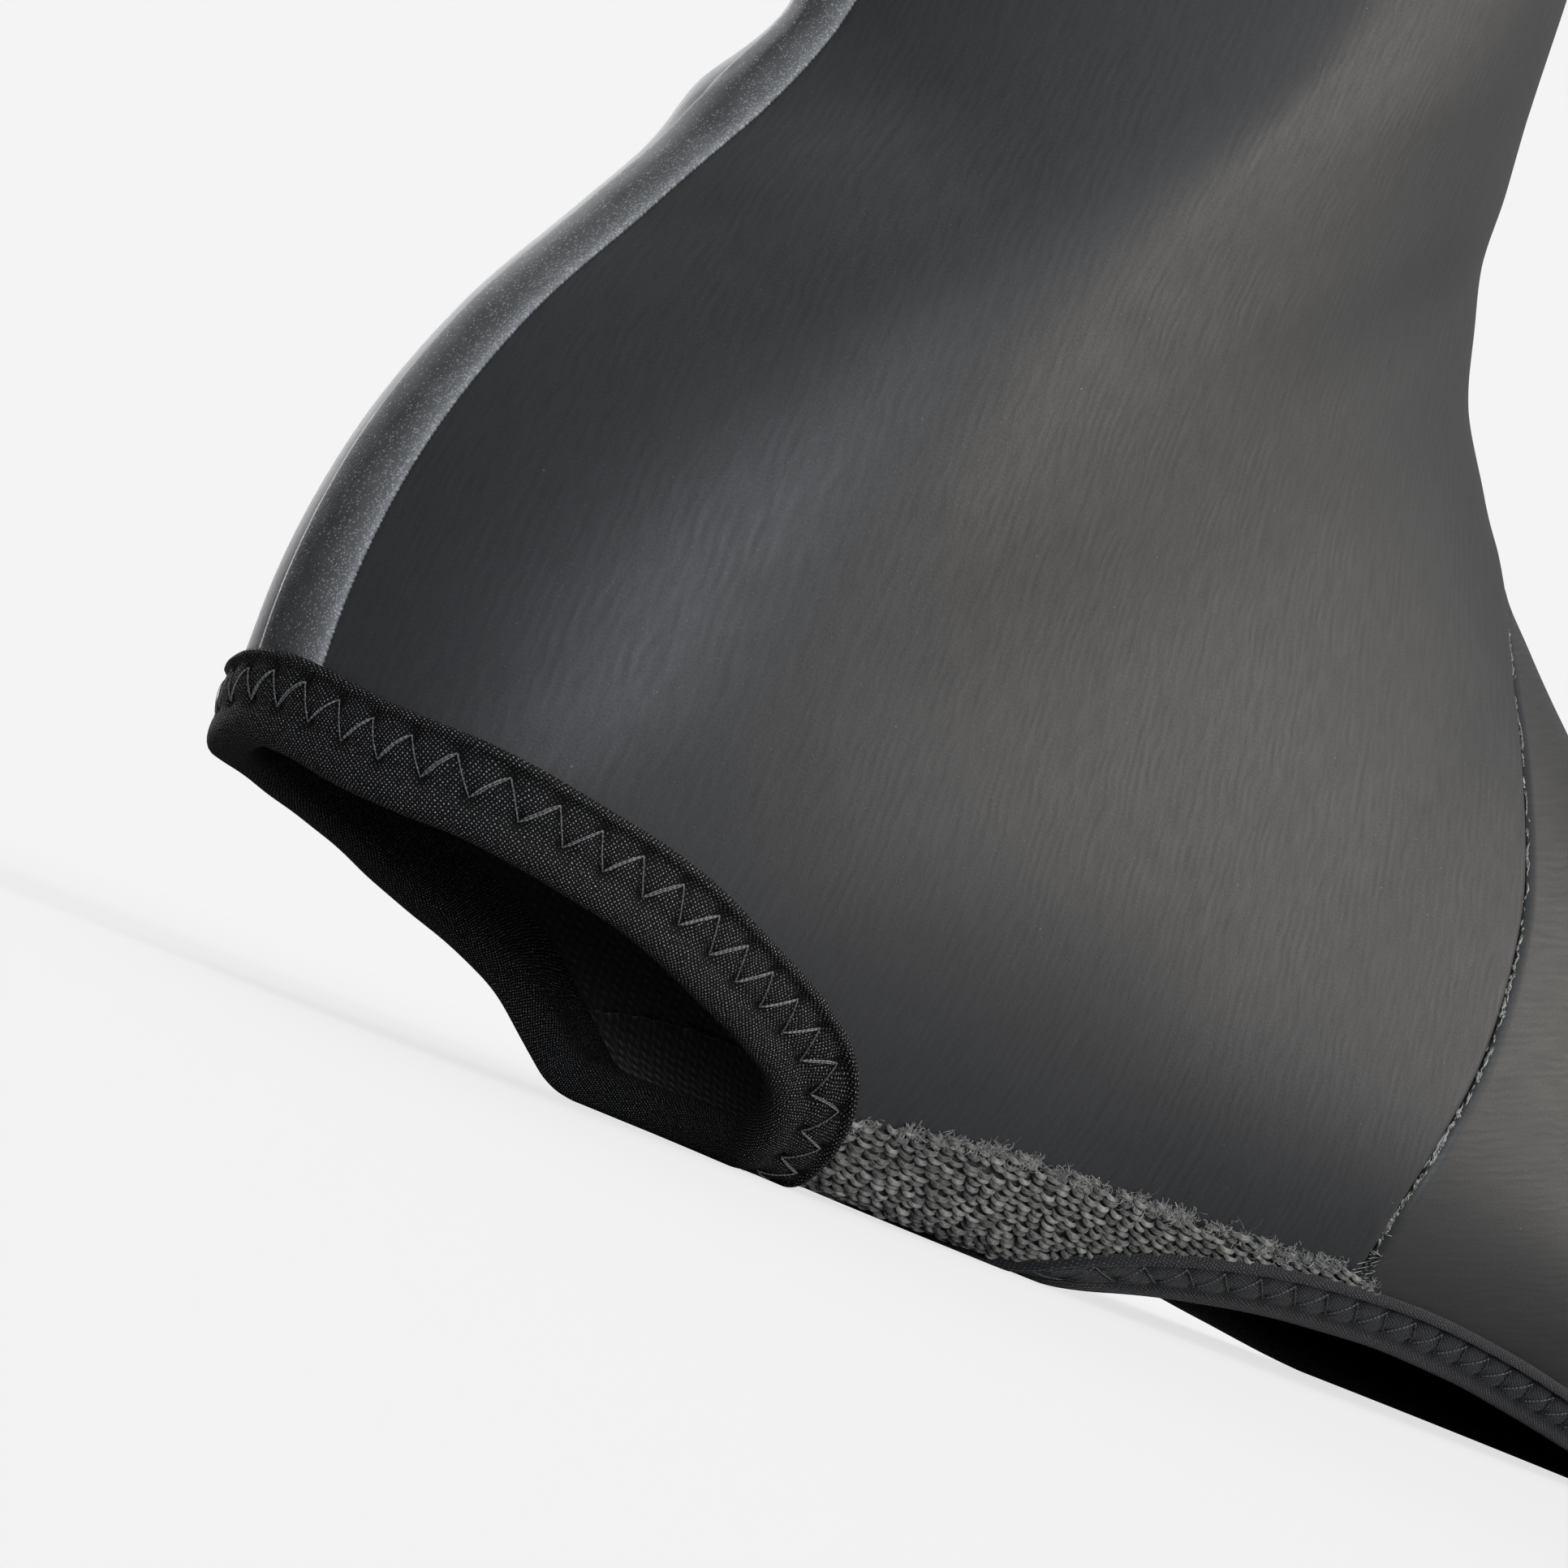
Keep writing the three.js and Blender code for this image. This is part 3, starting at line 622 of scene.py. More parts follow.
def driedGlue(name, dark, light):
    material, tree, shader, cloth = newMaterial(name, 0.22, Coat_Weight=0.6, Specular_IOR_Level=0.7)
    cloudy = noise(tree, cloth, 1.4, 2.0)
    tree.links.new(blendColours(tree, cloudy, dark, light), shader.inputs["Base Color"])
    return material


# Colours are linear: the dark one, then the light one that the grain, the fibres or the painted glints and
# highlights reach.
rearFabric = coatedFabric("rearFabric", (0.020, 0.021, 0.023), (0.036, 0.037, 0.040), pitch=1.0, run=6.0)
frontFabric = coatedFabric("frontFabric", (0.027, 0.027, 0.028), (0.042, 0.042, 0.042), pitch=0.95, run=9.0)
lining = liningJersey()
heelElastic = elasticBinding(
    "heelElastic", (0.003, 0.003, 0.0035), (0.42, 0.42, 0.43), specular=0.2, sheen=0.0)
cleatElastic = elasticBinding(
    "cleatElastic", (0.011, 0.011, 0.014), (0.12, 0.12, 0.14), specular=0.35, sheen=0.12)
tapeCoating = beadTape()
greyThread = stitchThread("greyThread", (0.03, 0.03, 0.032), (0.44, 0.44, 0.45), roughness=0.42)
blackThread = stitchThread("blackThread", (0.004, 0.004, 0.005), (0.13, 0.13, 0.14), roughness=0.45)
darkThread = stitchThread("darkThread", (0.006, 0.006, 0.007), (0.22, 0.22, 0.23), roughness=0.5)
glue = driedGlue("seamGlue", (0.05, 0.05, 0.049), (0.34, 0.34, 0.32))
darkGlue = driedGlue("darkGlue", (0.008, 0.008, 0.008), (0.03, 0.03, 0.029))
print("materials ready")

# The upper's two panels of coated fabric
upperPanels = {
    "columns": 168,      # points round a section
    "frontRows": 111,
    "rearRows": 231,
    "edgeRows": [0, 0.12, 0.3, 0.55, 0.9, 1.4, 2.1, 3.0],    # mm from an edge that rolls in
    "seamGap": 0.14,     # half of the open line between the two panels
    "roll": 0.85,        # how deep a panel's edge rolls in, mm
    "rollReach": 1.3,
    "hemPull": 0.22,     # how deep the hem's stitches pull the face in, mm
    "cutUnderBinding": 4.0,
    "frontGrain": 20,    # degrees that the front panel's grain climbs towards the toe
}


def seamStations(angle):
    # The station of the front seam at each angle.
    fine = between(np.array(frontSeam, float), np.linspace(0, len(frontSeam) - 1, 200))
    return np.interp(np.degrees(np.abs(angle)), fine[:, 1], fine[:, 0])


def columnStations(starts, ends, angles, marks):
    # Stations down each column at the distances in mm that marks gives for the column's length.
    fine = np.linspace(0, 1, 700)[:, None]
    station = starts + (ends - starts) * fine
    length = lengthAlong(lastPoint(station, angles[None]))
    rows, distances = [], []
    for j in range(len(angles)):
        wanted = marks(length[-1, j])
        rows.append(np.interp(wanted, length[:, j], station[:, j]))
        distances.append(wanted)
    return np.array(rows).T, np.array(distances).T, length[-1]


def clothRound(points, normals):
    # Distance round the foot, level and in mm, spread so that the grain stays upright and evenly spaced.
    level = unit(np.cross(normals, np.array([0.0, 0.0, 1.0])) * np.where(points[..., 1:2] < 0, -1, 1))
    wanted = []
    for axis in (0, 1):
        ahead, levelAhead = np.roll(points, -1, axis), np.roll(level, -1, axis)
        step = ((level + levelAhead) / 2 * (ahead - points)).sum(-1)
        used = np.ones(step.shape)
        if axis == 0:
            used[-1] = 0
        middle = np.sign(points[..., 1]) != np.sign(ahead[..., 1])
        wanted.append((np.where(middle, 0, step) * used, used))

    def pull(values):
        total = np.zeros_like(values)
        for axis, (_, used) in enumerate(wanted):
            gap = (np.roll(values, -1, axis) - values) * used
            total += np.roll(gap, 1, axis) - gap
        return total

    right = sum(np.roll(step, 1, axis) - step for axis, (step, _) in enumerate(wanted))
    around = points[..., 0].copy()
    left = right - pull(around)
    way, size = left.copy(), (left * left).sum()
    for _ in range(400):
        pulled = pull(way)
        share = size / max((way * pulled).sum(), 1e-12)
        around += share * way
        left -= share * pulled
        newSize = (left * left).sum()
        if newSize < 1e-3:
            break
        way = left + way * newSize / size
        size = newSize
    return around


def clothAxes(station, angle, points, front):
    # Flat pattern coordinates in mm: the first crosses the grain, the second runs with it.
    if not front:
        return np.stack([clothRound(points, outward(station, angle)), points[..., 2]], -1)
    slope = math.radians(upperPanels["frontGrain"])
    cos, sin = math.cos(slope), math.sin(slope)
    x, z = points[..., 0], points[..., 2]
    return np.stack([z * cos - x * sin, x * cos + z * sin], -1)


def edgeRoll(distance):
    return -upperPanels["roll"] * np.clip(1 - distance / upperPanels["rollReach"], 0, 1) ** 2


def buildPanel(name, front):
    angles = -np.pi + 2 * np.pi * np.arange(upperPanels["columns"]) / upperPanels["columns"]
    seam = seamStations(angles)
    edge = np.array(upperPanels["edgeRows"])
    gap = upperPanels["seamGap"]

    def marks(length):
        if front:
            tail = edge + gap
            body = np.linspace(0, length - tail[-1], upperPanels["frontRows"])
            return np.concatenate([body, (length - tail[:-1])[::-1]])
        body = np.linspace(gap + edge[-1], length - edge[-1], upperPanels["rearRows"])
        return np.concatenate([edge[:-1] + gap, body, (length - edge[:-1])[::-1]])

    starts = np.zeros_like(seam) if front else seam
    ends = seam if front else np.full_like(seam, collarStation)
    station, distance, length = columnStations(starts, ends, angles, marks)
    angle = np.broadcast_to(angles, station.shape)
    toSeam = (length[None] - distance) if front else distance
    toCollar = np.full_like(distance, 1e3) if front else length[None] - distance
    offOuter = edgeRoll(toSeam) + edgeRoll(toCollar) * 1.1
    for line in hemSeams:
        offOuter = offOuter - upperPanels["hemPull"] * np.exp(-((toCollar - line) / 0.8) ** 2)
    hem = np.clip((shoe["hemHeight"] + 1 - toCollar) / 1.4, 0, 1)
    offInner = -(shoe["wall"] + shoe["hemStep"] * hem * hem * (3 - 2 * hem)) - edgeRoll(toCollar)
    outer = formPoint(station, angle, offOuter)
    inner = formPoint(station, angle, offInner)
    keep = clearOfRims(station, angle) - upperPanels["cutUnderBinding"]
    keep = np.minimum(keep, borderDistance(archBorder, station, angle) + 0.2)
    faces = gridFaces(*station.shape, closedColumns=True)
    polygons, extra = cutFaces(faces, keep.reshape(-1))
    uv = clothAxes(station, angle, outer, front).reshape(-1, 2)
    outer, inner, uv = addCorners(extra, outer.reshape(-1, 3), inner.reshape(-1, 3), uv)
    if front:  # the first row is the toe tip, one point
        outer[:upperPanels["columns"]] = outer[:upperPanels["columns"]].mean(0)
        inner[:upperPanels["columns"]] = inner[:upperPanels["columns"]].mean(0)
    return closeWall(name, outer, inner, polygons, uv)


def closeWall(name, outer, inner, polygons, uv):
    # Two faces of one wall joined along every open edge; the second face takes the second material.
    count = len(outer)
    edges = {}
    for polygon in polygons:
        for a, b in zip(polygon, polygon[1:] + polygon[:1]):
            key = (min(a, b), max(a, b))
            edges[key] = None if key in edges else (a, b)
    rims = [[b, a, a + count, b + count] for a, b in filter(None, edges.values())]
    faces = polygons + [[i + count for i in reversed(p)] for p in polygons] + rims
    slots = [0] * len(polygons) + [1] * len(polygons) + [0] * len(rims)
    piece = newMesh(name, np.concatenate([outer, inner]), faces, uv=np.concatenate([uv, uv]), faceSlots=slots)
    tidyMesh(piece, 0.02)
    return piece


def tidyMesh(piece, reach):
    # Joins points within reach of each other, drops loose ones and turns the faces outwards.
    work = bmesh.new()
    work.from_mesh(piece.data)
    if reach > 0:
        bmesh.ops.remove_doubles(work, verts=work.verts, dist=reach / 1000)
        bmesh.ops.dissolve_degenerate(work, edges=work.edges, dist=1e-7)
        bmesh.ops.delete(work, geom=[v for v in work.verts if not v.link_faces], context="VERTS")
    bmesh.ops.recalc_face_normals(work, faces=work.faces)
    work.to_mesh(piece.data)
    work.free()


rearPanel = buildPanel("upper_rear", front=False)
finishPiece(rearPanel, [rearFabric, lining], "upper")
frontPanel = buildPanel("upper_front", front=True)
finishPiece(frontPanel, [frontFabric, lining], "upper")
print("upper panels:", len(rearPanel.data.polygons), len(frontPanel.data.polygons), "faces")

# The elastic folded round the edges of the two openings
bindingLook = {
    "alongStep": 0.55,      # mm between rings along a binding
    "stitchPitch": 4.2,     # one zig and one zag
    "stitchTips": (6.9, 3.8),   # the zigzag's outer and inner points, from the rim
    "dimple": 0.40,
    "grooves": (0.06, 0.26),    # under the loose leg and under the twisted leg
    "outerPoints": 24,          # how many of the section's points lie on the outer leaf
    # ridges and valleys along the band: distance from the rim, half width, height
    "heelRelief": [(8.15, 0.4, 0.10), (7.55, 0.3, -0.10)],
    "cleatRelief": [(7.95, 0.5, 0.30), (7.2, 0.35, -0.30), (3.05, 0.35, -0.34), (1.9, 0.9, 0.10)],
    # where the knit stretches to ribs: station and reach
    "heelRibs": [(10.9, 0.5), (13.9, 0.35)],
    "cleatRibs": [(9.0, 0.2)],
}
# The zigzag's two legs: where each starts in the pitch, from which distance to which, and how high it sits
threads = {
    "filaments": {"start": 0.0, "from": 6.9, "to": 3.8, "strands": 3, "gap": 0.13, "radius": 0.036,
                  "points": 9, "turns": 0, "coil": 0.0, "bow": 0.22, "seat": 0.84, "lift": 0.34},
    "twist": {"start": 0.5, "from": 3.8, "to": 6.9, "strands": 2, "gap": 0.0, "radius": 0.052,
              "points": 41, "turns": 7, "coil": 0.045, "bow": -0.1, "seat": 0.84, "lift": 0.24},
}
# The folded elastic's section: distance from the rim and distance off the fabric's face, in mm
bindingSection = [
    (8.50, 0.06), (8.70, 0.35), (8.74, 0.75), (8.62, 1.06), (8.36, 1.22), (8.06, 1.22), (7.80, 1.06),
    (7.55, 0.94), (7.20, 0.93), (6.80, 0.97), (6.40, 1.00), (6.00, 1.02), (5.60, 1.03), (5.20, 1.03),
    (4.80, 1.02), (4.40, 1.00), (4.00, 0.96), (3.60, 0.93), (3.25, 0.98), (2.90, 1.07), (2.50, 1.16),
    (2.05, 1.22), (1.55, 1.24), (1.10, 1.18), (0.68, 1.02), (0.34, 0.74), (0.10, 0.34), (-0.04, -0.16),
    (-0.10, -0.75), (-0.10, -1.40), (-0.05, -2.00), (0.10, -2.55), (0.38, -3.05), (0.85, -3.42),
    (1.50, -3.60), (2.30, -3.62), (3.40, -3.44), (5.00, -3.50), (6.60, -3.50), (8.00, -3.58),
    (8.50, -3.40), (8.62, -3.00), (8.45, -2.48), (6.00, -2.46), (3.00, -2.46), (1.70, -2.44),
    (1.35, -1.90), (1.35, -0.50), (1.70, 0.04), (3.00, 0.05), (6.00, 0.05),
]


class Rim:
    # Places on the last at any distance along a rim and any distance away from it.
    widthStep = 0.5

    def __init__(self, table, step):
        self.loop, self.length = evenLoop(table, step)
        self.count = len(self.loop)
        self.widths = np.arange(-1, 12, self.widthStep)
        points = lastPoint(self.loop[:, 0], self.loop[:, 1])
        tangent = np.roll(points, -1, 0) - np.roll(points, 1, 0)
        aside = np.cross(tangent, outward(self.loop[:, 0], self.loop[:, 1]))
        self.places = np.stack([
            np.stack(walk(self.loop[:, 0], self.loop[:, 1], aside, width), -1) for width in self.widths], 1)

    def place(self, along, width):
        i = np.asarray(along, float) / self.length * self.count
        j = (np.asarray(width, float) - self.widths[0]) / self.widthStep
        i, j = np.broadcast_arrays(i, j)
        i0, j0 = np.floor(i).astype(int), np.clip(np.floor(j).astype(int), 0, len(self.widths) - 2)
        a, b = (i - i0)[..., None], (j - j0)[..., None]
        low, high = self.places[i0 % self.count], self.places[(i0 + 1) % self.count]
        near, far = (k[..., None, None].repeat(2, -1) for k in (j0, j0 + 1))
        lowNear, lowFar, highNear, highFar = (
            np.take_along_axis(row, k, -2)[..., 0, :] for row in (low, high) for k in (near, far))
        return (1 - a) * ((1 - b) * lowNear + b * lowFar) + a * ((1 - b) * highNear + b * highFar)

    def point(self, along, width, off):
        place = self.place(along, width)
        return formPoint(place[..., 0], place[..., 1], off)

    def normal(self, along, width):
        place = self.place(along, width)
        return outward(place[..., 0], place[..., 1])


def stitchCount(rim):
    return int(round(rim.length / bindingLook["stitchPitch"]))


def puckers(rim, along, width):
    # How far the stitches pull the elastic in: a dimple at each tip and a faint groove under each leg.
    pitch = rim.length / stitchCount(rim)
    far, near = bindingLook["stitchTips"]
    phase = (along / pitch) % 1
    result = np.zeros(np.broadcast(along, width).shape)
    for tip, start in ((far, 0.0), (near, 0.5)):
        gap = np.minimum(np.abs(phase - start), 1 - np.abs(phase - start)) * pitch
        result -= bindingLook["dimple"] * np.exp(-(gap ** 2 + ((width - tip) * 0.9) ** 2) / 0.42)
    legWidth = far + (near - far) * np.abs(phase * 2 - 2 * np.floor(phase + 0.5))
    inside = np.clip((width - near + 0.5) / 0.6, 0, 1) * np.clip((far + 0.5 - width) / 0.6, 0, 1)
    deep = np.where(phase > 0.5, bindingLook["grooves"][1], bindingLook["grooves"][0])
    result -= deep * np.exp(-((width - legWidth) / 0.5) ** 2) * inside
    swell = np.sin(np.pi * phase * 2) ** 2 * inside * np.exp(-((width - 5.2) / 1.4) ** 2)
    return result + 0.07 * swell


def buildBinding(name, rim, ribs, relief):
    section = np.array(bindingSection)
    along = np.arange(int(rim.length / bindingLook["alongStep"])) * 1.0
    along *= rim.length / len(along)
    width, off = section[:, 0][None], section[:, 1][None]
    outerLeaf = (np.arange(len(section)) < bindingLook["outerPoints"])[None]
    shaped = puckers(rim, along[:, None], width)
    for centre, half, height in relief:
        shaped = shaped + height * np.exp(-((width - centre) / half) ** 2)
    shaped = np.where(outerLeaf, shaped, 0)
    uneven = 0.05 * np.sin(along / rim.length * 2 * np.pi * 23)[:, None]
    uneven = uneven * np.clip(1 - np.abs(width - 1.5) / 3, 0, 1)
    points = rim.point(along[:, None], width + uneven, off + shaped)
    points[..., 2] = np.maximum(points[..., 2], 0.02)  # pressed flat where it stands on the floor
    rows, columns = points.shape[:2]
    faces = gridFaces(rows, columns, True, True)
    across = lengthAlong(np.concatenate([section, section[:1]]))
    along = np.concatenate([along, [rim.length]])
    i, j = np.divmod(np.arange(rows * columns), columns)
    corners = [np.stack([along[i + di], across[j + dj]], -1) for di, dj in ((0, 0), (0, 1), (1, 1), (1, 0))]
    cornerUv = np.stack(corners, 1).reshape(-1, 2)
    stations = rim.place(along[:-1], 4.0)[:, 0]
    ribbed = sum(np.exp(-((stations - station) / reach) ** 2) for station, reach in ribs)
    # painted shade: how deep each point is pulled in, for darkening the colour there
    values = {"ribbed": np.repeat(ribbed, columns), "paintedHollowShade": np.clip(-shaped / 0.3, 0, 1).reshape(-1)}
    piece = newMesh(name, points.reshape(-1, 3), faces, cornerUv=cornerUv, values=values)
    tidyMesh(piece, 0)
    return piece


def buildZigzag(name, rim, coats):
    # The zigzag: one leg is three loose filaments, the other a twisted pair.
    count = stitchCount(rim)
    pitch = rim.length / count
    sway = chance.normal(0, 0.07, (count, 1))
    for kind, look in threads.items():
        t = np.linspace(0, 1, look["points"])[None]
        paths, normals = [], []
        for strand in range(look["strands"]):
            turn = 2 * np.pi * (look["turns"] * t + strand / look["strands"])
            aside = (strand - (look["strands"] - 1) / 2) * look["gap"]
            aside = aside + chance.normal(0, look["gap"] / 4, (count, 1))
            along = np.arange(count)[:, None] * pitch + (look["start"] + t / 2) * pitch
            along = along + sway * t * (1 - t) * 4
            along = along + aside * np.clip(2.2 * np.sin(np.pi * t), 0, 1) + look["coil"] * np.sin(turn)
            width = look["from"] + (look["to"] - look["from"]) * t + look["bow"] * np.sin(np.pi * t)
            off = look["seat"] + look["lift"] * np.sin(np.pi * t) ** 0.6 + look["coil"] * np.cos(turn)
            width, off = np.broadcast_to(width, along.shape), np.broadcast_to(off, along.shape)
            paths.append(rim.point(along, width, off))
            normals.append(rim.normal(along, width))
        piece = tubes(name + "_" + kind, np.concatenate(paths), np.concatenate(normals), look["radius"], 5)
        finishPiece(piece, [coats[kind]])


heelEdge = Rim(heelRim, 1.0)
cleatEdge = Rim(cleatRim, 1.0)
heelBinding = buildBinding(
    "heel_binding_elastic", heelEdge, bindingLook["heelRibs"], bindingLook["heelRelief"])
finishPiece(heelBinding, [heelElastic], "heel_binding")
cleatBinding = buildBinding(
    "cleat_binding_elastic", cleatEdge, bindingLook["cleatRibs"], bindingLook["cleatRelief"])
finishPiece(cleatBinding, [cleatElastic], "cleat_binding")
buildZigzag("heel_stitching", heelEdge, {"filaments": greyThread, "twist": darkThread})
buildZigzag("cleat_stitching", cleatEdge, {"filaments": darkThread, "twist": blackThread})
print("bindings:", round(heelEdge.length), "and", round(cleatEdge.length), "mm round")

# The coarse knit under the arch, in mm
archKnit = {
    "stations": (7.4, 11.6), "loopLength": 2.0, "rowPitch": 0.88, "rowsEachSide": 90, "yarnRadius": 0.33,
    "overlap": 1.1,         # how far the knit laps over the fabric
    "underBinding": 7.4,    # how far from an opening's rim the loops stop
    "edgeTufts": 4600, "clumps": 210, "tuftSpread": (0.25, 0.42),
    "hairs": 60, "hairSpread": (0.3, 0.8),
}
archYarn = knitYarn("archYarn", archKnit["loopLength"], (0.014, 0.015, 0.012), (0.36, 0.36, 0.325))
edgeYarn = knitYarn("edgeYarn", archKnit["loopLength"], (0.22, 0.22, 0.205), (0.88, 0.88, 0.84))


def archPlaces():
    # Places of the knit's loops: rows along the foot, each half a loop on from the last.
    fine = np.linspace(*archKnit["stations"], 600)
    travelled = lengthAlong(lastPoint(fine, np.zeros_like(fine)))
    places = []
    for half in (0, 1):
        marks = np.arange(half * archKnit["loopLength"] / 2, travelled[-1], archKnit["loopLength"])
        station = np.interp(marks, travelled, fine)
        angle = np.zeros_like(station)
        for side in (1, -1):
            s, a = station.copy(), angle.copy()
            for row in range(archKnit["rowsEachSide"]):
                if row % 2 == half and not (row == 0 and side < 0):
                    places.append(np.stack([s, a, np.full_like(s, row * side)], -1))
                s, a = walk(s, a, np.array([0.0, side, 0.0]), archKnit["rowPitch"])
    places = np.concatenate(places)
    s, a = places[:, 0], places[:, 1]
    inside = borderDistance(archBorder, s, a)
    return places[(inside < archKnit["overlap"] - 0.3) & (clearOfRims(s, a) > archKnit["underBinding"])]


def buildArchBase():
    station = np.linspace(7.55, 11.25, 110)[:, None]
    angle = np.radians(np.linspace(-60, 60, 110))[None]
    station, angle = np.broadcast_arrays(station, angle)
    outer = formPoint(station, angle, np.full(station.shape, -0.45)).reshape(-1, 3)
    inner = formPoint(station, angle, np.full(station.shape, -shoe["wall"])).reshape(-1, 3)
    keep = clearOfRims(station, angle) - upperPanels["cutUnderBinding"]
    keep = np.minimum(keep, -borderDistance(archBorder, station, angle) - 0.25)
    polygons, extra = cutFaces(gridFaces(*station.shape), keep.reshape(-1))
    outer, inner, uv = addCorners(extra, outer, inner, outer[:, :2])
    return closeWall("arch_base", outer, inner, polygons, uv)


def localAxes(station, angle):
    normal = outward(station, angle)
    forward = unit(np.array([1.0, 0, 0]) - normal * normal[..., :1])
    return normal, forward, np.cross(normal, forward)


def buildLoops(name, places):
    # Each loop is a short bowed yarn whose ends dive under its neighbours.
    station, angle = places[:, 0], places[:, 1]
    count = len(places)
    normal, forward, aside = localAxes(station, angle)
    side = np.sign(places[:, 2] + 0.01)
    slip = 0.42 * np.sin(places[:, 2] * 2.4)[:, None] * forward
    centre = formPoint(station, angle, np.zeros(count)) + slip + chance.normal(0, 0.12, (count, 3))
    t = np.linspace(-1, 1, 7)[None, :, None]
    reach = archKnit["loopLength"] * 0.53 * (1 + chance.normal(0, 0.1, (count, 1, 1)))
    lean = chance.normal(0, 0.10, (count, 1, 1))
    bowed = (0.26 * (1 - t ** 2) - 0.12) * side[:, None, None]
    lift = 0.52 * (1 - np.abs(t) ** 4) - 0.28 + chance.normal(0, 0.07, (count, 1, 1))
    path = (centre[:, None] + forward[:, None] * (t * reach) + aside[:, None] * (bowed + lean * t)
            + normal[:, None] * lift)
    radius = archKnit["yarnRadius"] * (0.55 + 0.45 * (1 - np.abs(t[..., 0]) ** 2)) * (
        1 + chance.normal(0, 0.08, (count, 1)))
    tone = np.clip(1.25 * chance.beta(1.2, 2.4, count), 0, 1)
    return tubes(name, path, np.repeat(normal[:, None], 7, 1), radius, 6, values={"tone": tone}, uvPitch=2.0)


def edgePlaces(count, spread, clumps=0):
    # Random places along the knit's upper raw edges, away from the bindings, singly or in clumps.
    loop, _ = evenLoop(archBorder, 0.25)
    free = loop[clearOfRims(loop[:, 0], loop[:, 1]) > archKnit["underBinding"] + 0.8]
    if clumps:
        centres = chance.integers(0, len(free), clumps)
        picked = centres[chance.integers(0, clumps, count)] + chance.normal(0, 1.6, count).astype(int)
        picked = free[np.clip(picked, 0, len(free) - 1)]
    else:
        picked = free[chance.integers(0, len(free), count)]
    station, angle = picked[:, 0], picked[:, 1]
    _, around = faceDirections(station, angle)
    away = unit(around * np.sign(angle)[:, None])
    return walk(station, angle, away, chance.normal(spread[0], spread[1], count))


def buildFuzz(name, station, angle, length, radius, curl, rise, points):
    # Loose fibres that lie about the face and curl; swing is how far each one turns, in radians.
    count = len(station)
    normal, forward, aside = localAxes(station, angle)
    t = np.linspace(0, 1, points)[None, :, None]
    size = (length * chance.lognormal(0, 0.3, count))[:, None, None]
    turn = chance.uniform(0, 2 * np.pi, (count, 1, 1))
    swing = chance.normal(0, curl, (count, 1, 1))
    swing = np.where(np.abs(swing) < 0.1, 0.1, swing)
    ahead = (np.sin(turn + swing * t) - np.sin(turn)) / swing
    sideways = (np.cos(turn) - np.cos(turn + swing * t)) / swing
    lifted = chance.uniform(0.1, 1, (count, 1, 1)) * rise * np.sin(0.8 * np.pi * t)
    path = formPoint(station, angle, np.zeros(count))[:, None] + size * (
        forward[:, None] * ahead + aside[:, None] * sideways + normal[:, None] * lifted)
    tone = np.clip(chance.normal(0.5, 0.25, count), 0, 1)
    return tubes(name, path, np.repeat(normal[:, None], points, 1), radius, 3, values={"tone": tone})


archBase = buildArchBase()
finishPiece(archBase, [archYarn, lining], "arch_panel")
loops = archPlaces()
for label, chosen in (("outer", loops[:, 2] < 0), ("inner", loops[:, 2] >= 0)):
    finishPiece(buildLoops("arch_knit_" + label, loops[chosen]), [archYarn], "arch_panel")
tuftPlaces = edgePlaces(archKnit["edgeTufts"], archKnit["tuftSpread"], archKnit["clumps"])
tufts = buildFuzz("arch_edge_yarn", *tuftPlaces, length=0.9, radius=0.036, curl=2.6, rise=0.6, points=7)
finishPiece(tufts, [edgeYarn])
hairPlaces = edgePlaces(archKnit["hairs"], archKnit["hairSpread"])
hairs = buildFuzz("arch_edge_fibres", *hairPlaces, length=2.6, radius=0.015, curl=2.4, rise=0.35, points=9)
finishPiece(hairs, [edgeYarn])
print("arch knit:", len(loops), "loops")

# The reflective tape down the back, cut with pinking teeth, in mm
tapeLook = {"tooth": 0.55, "toothDepth": 0.13, "alongStep": 0.275, "thickness": 0.42, "columns": 13}


def buildTape():
    fine = np.linspace(13.4, collarStation, 900)
    travelled = lengthAlong(lastPoint(fine, np.zeros_like(fine)))
    start = np.interp(heelEdge.place(0.0, shoe["bindingWidth"] - 0.7)[0], fine, travelled)
    marks = np.arange(start, travelled[-1] - 0.5, tapeLook["alongStep"])
    station = np.interp(marks, travelled, fine)
    share = np.linspace(-1, 1, tapeLook["columns"])
    teeth = np.abs(marks / tapeLook["tooth"] % 1 - 0.5) * 2 * tapeLook["toothDepth"]
    half = shoe["tapeWidth"] / 2
    columns = []
    for value in share:
        reach = value * (half - teeth * (abs(value) == 1))
        columns.append(np.stack(walk(station, np.zeros_like(station), np.array([0.0, 1.0, 0.0]), reach), -1))
    places = np.stack(columns, 1)
    edge = np.where(np.abs(share) == 1, 0.16, 0.0)[None]
    top = formPoint(places[..., 0], places[..., 1], 0.10 + tapeLook["thickness"] - edge + 0 * places[..., 0])
    low = formPoint(places[..., 0], places[..., 1], 0.02 + 0 * places[..., 0])
    ring = np.concatenate([top, low[:, ::-1]], 1)
    rows, sides = ring.shape[:2]
    faces = gridFaces(rows, sides, closedColumns=True).tolist()
    faces += [list(range(sides))[::-1], [(rows - 1) * sides + k for k in range(sides)]]
    across = np.concatenate([share, share[::-1]]) * half
    uv = np.stack(np.broadcast_arrays(across[None], marks[:, None]), -1).reshape(-1, 2)
    piece = newMesh("tape_strip", ring.reshape(-1, 3), faces, uv=uv)
    tidyMesh(piece, 0.001)
    return piece


finishPiece(buildTape(), [tapeCoating], "back_tape")
print("back tape ready")

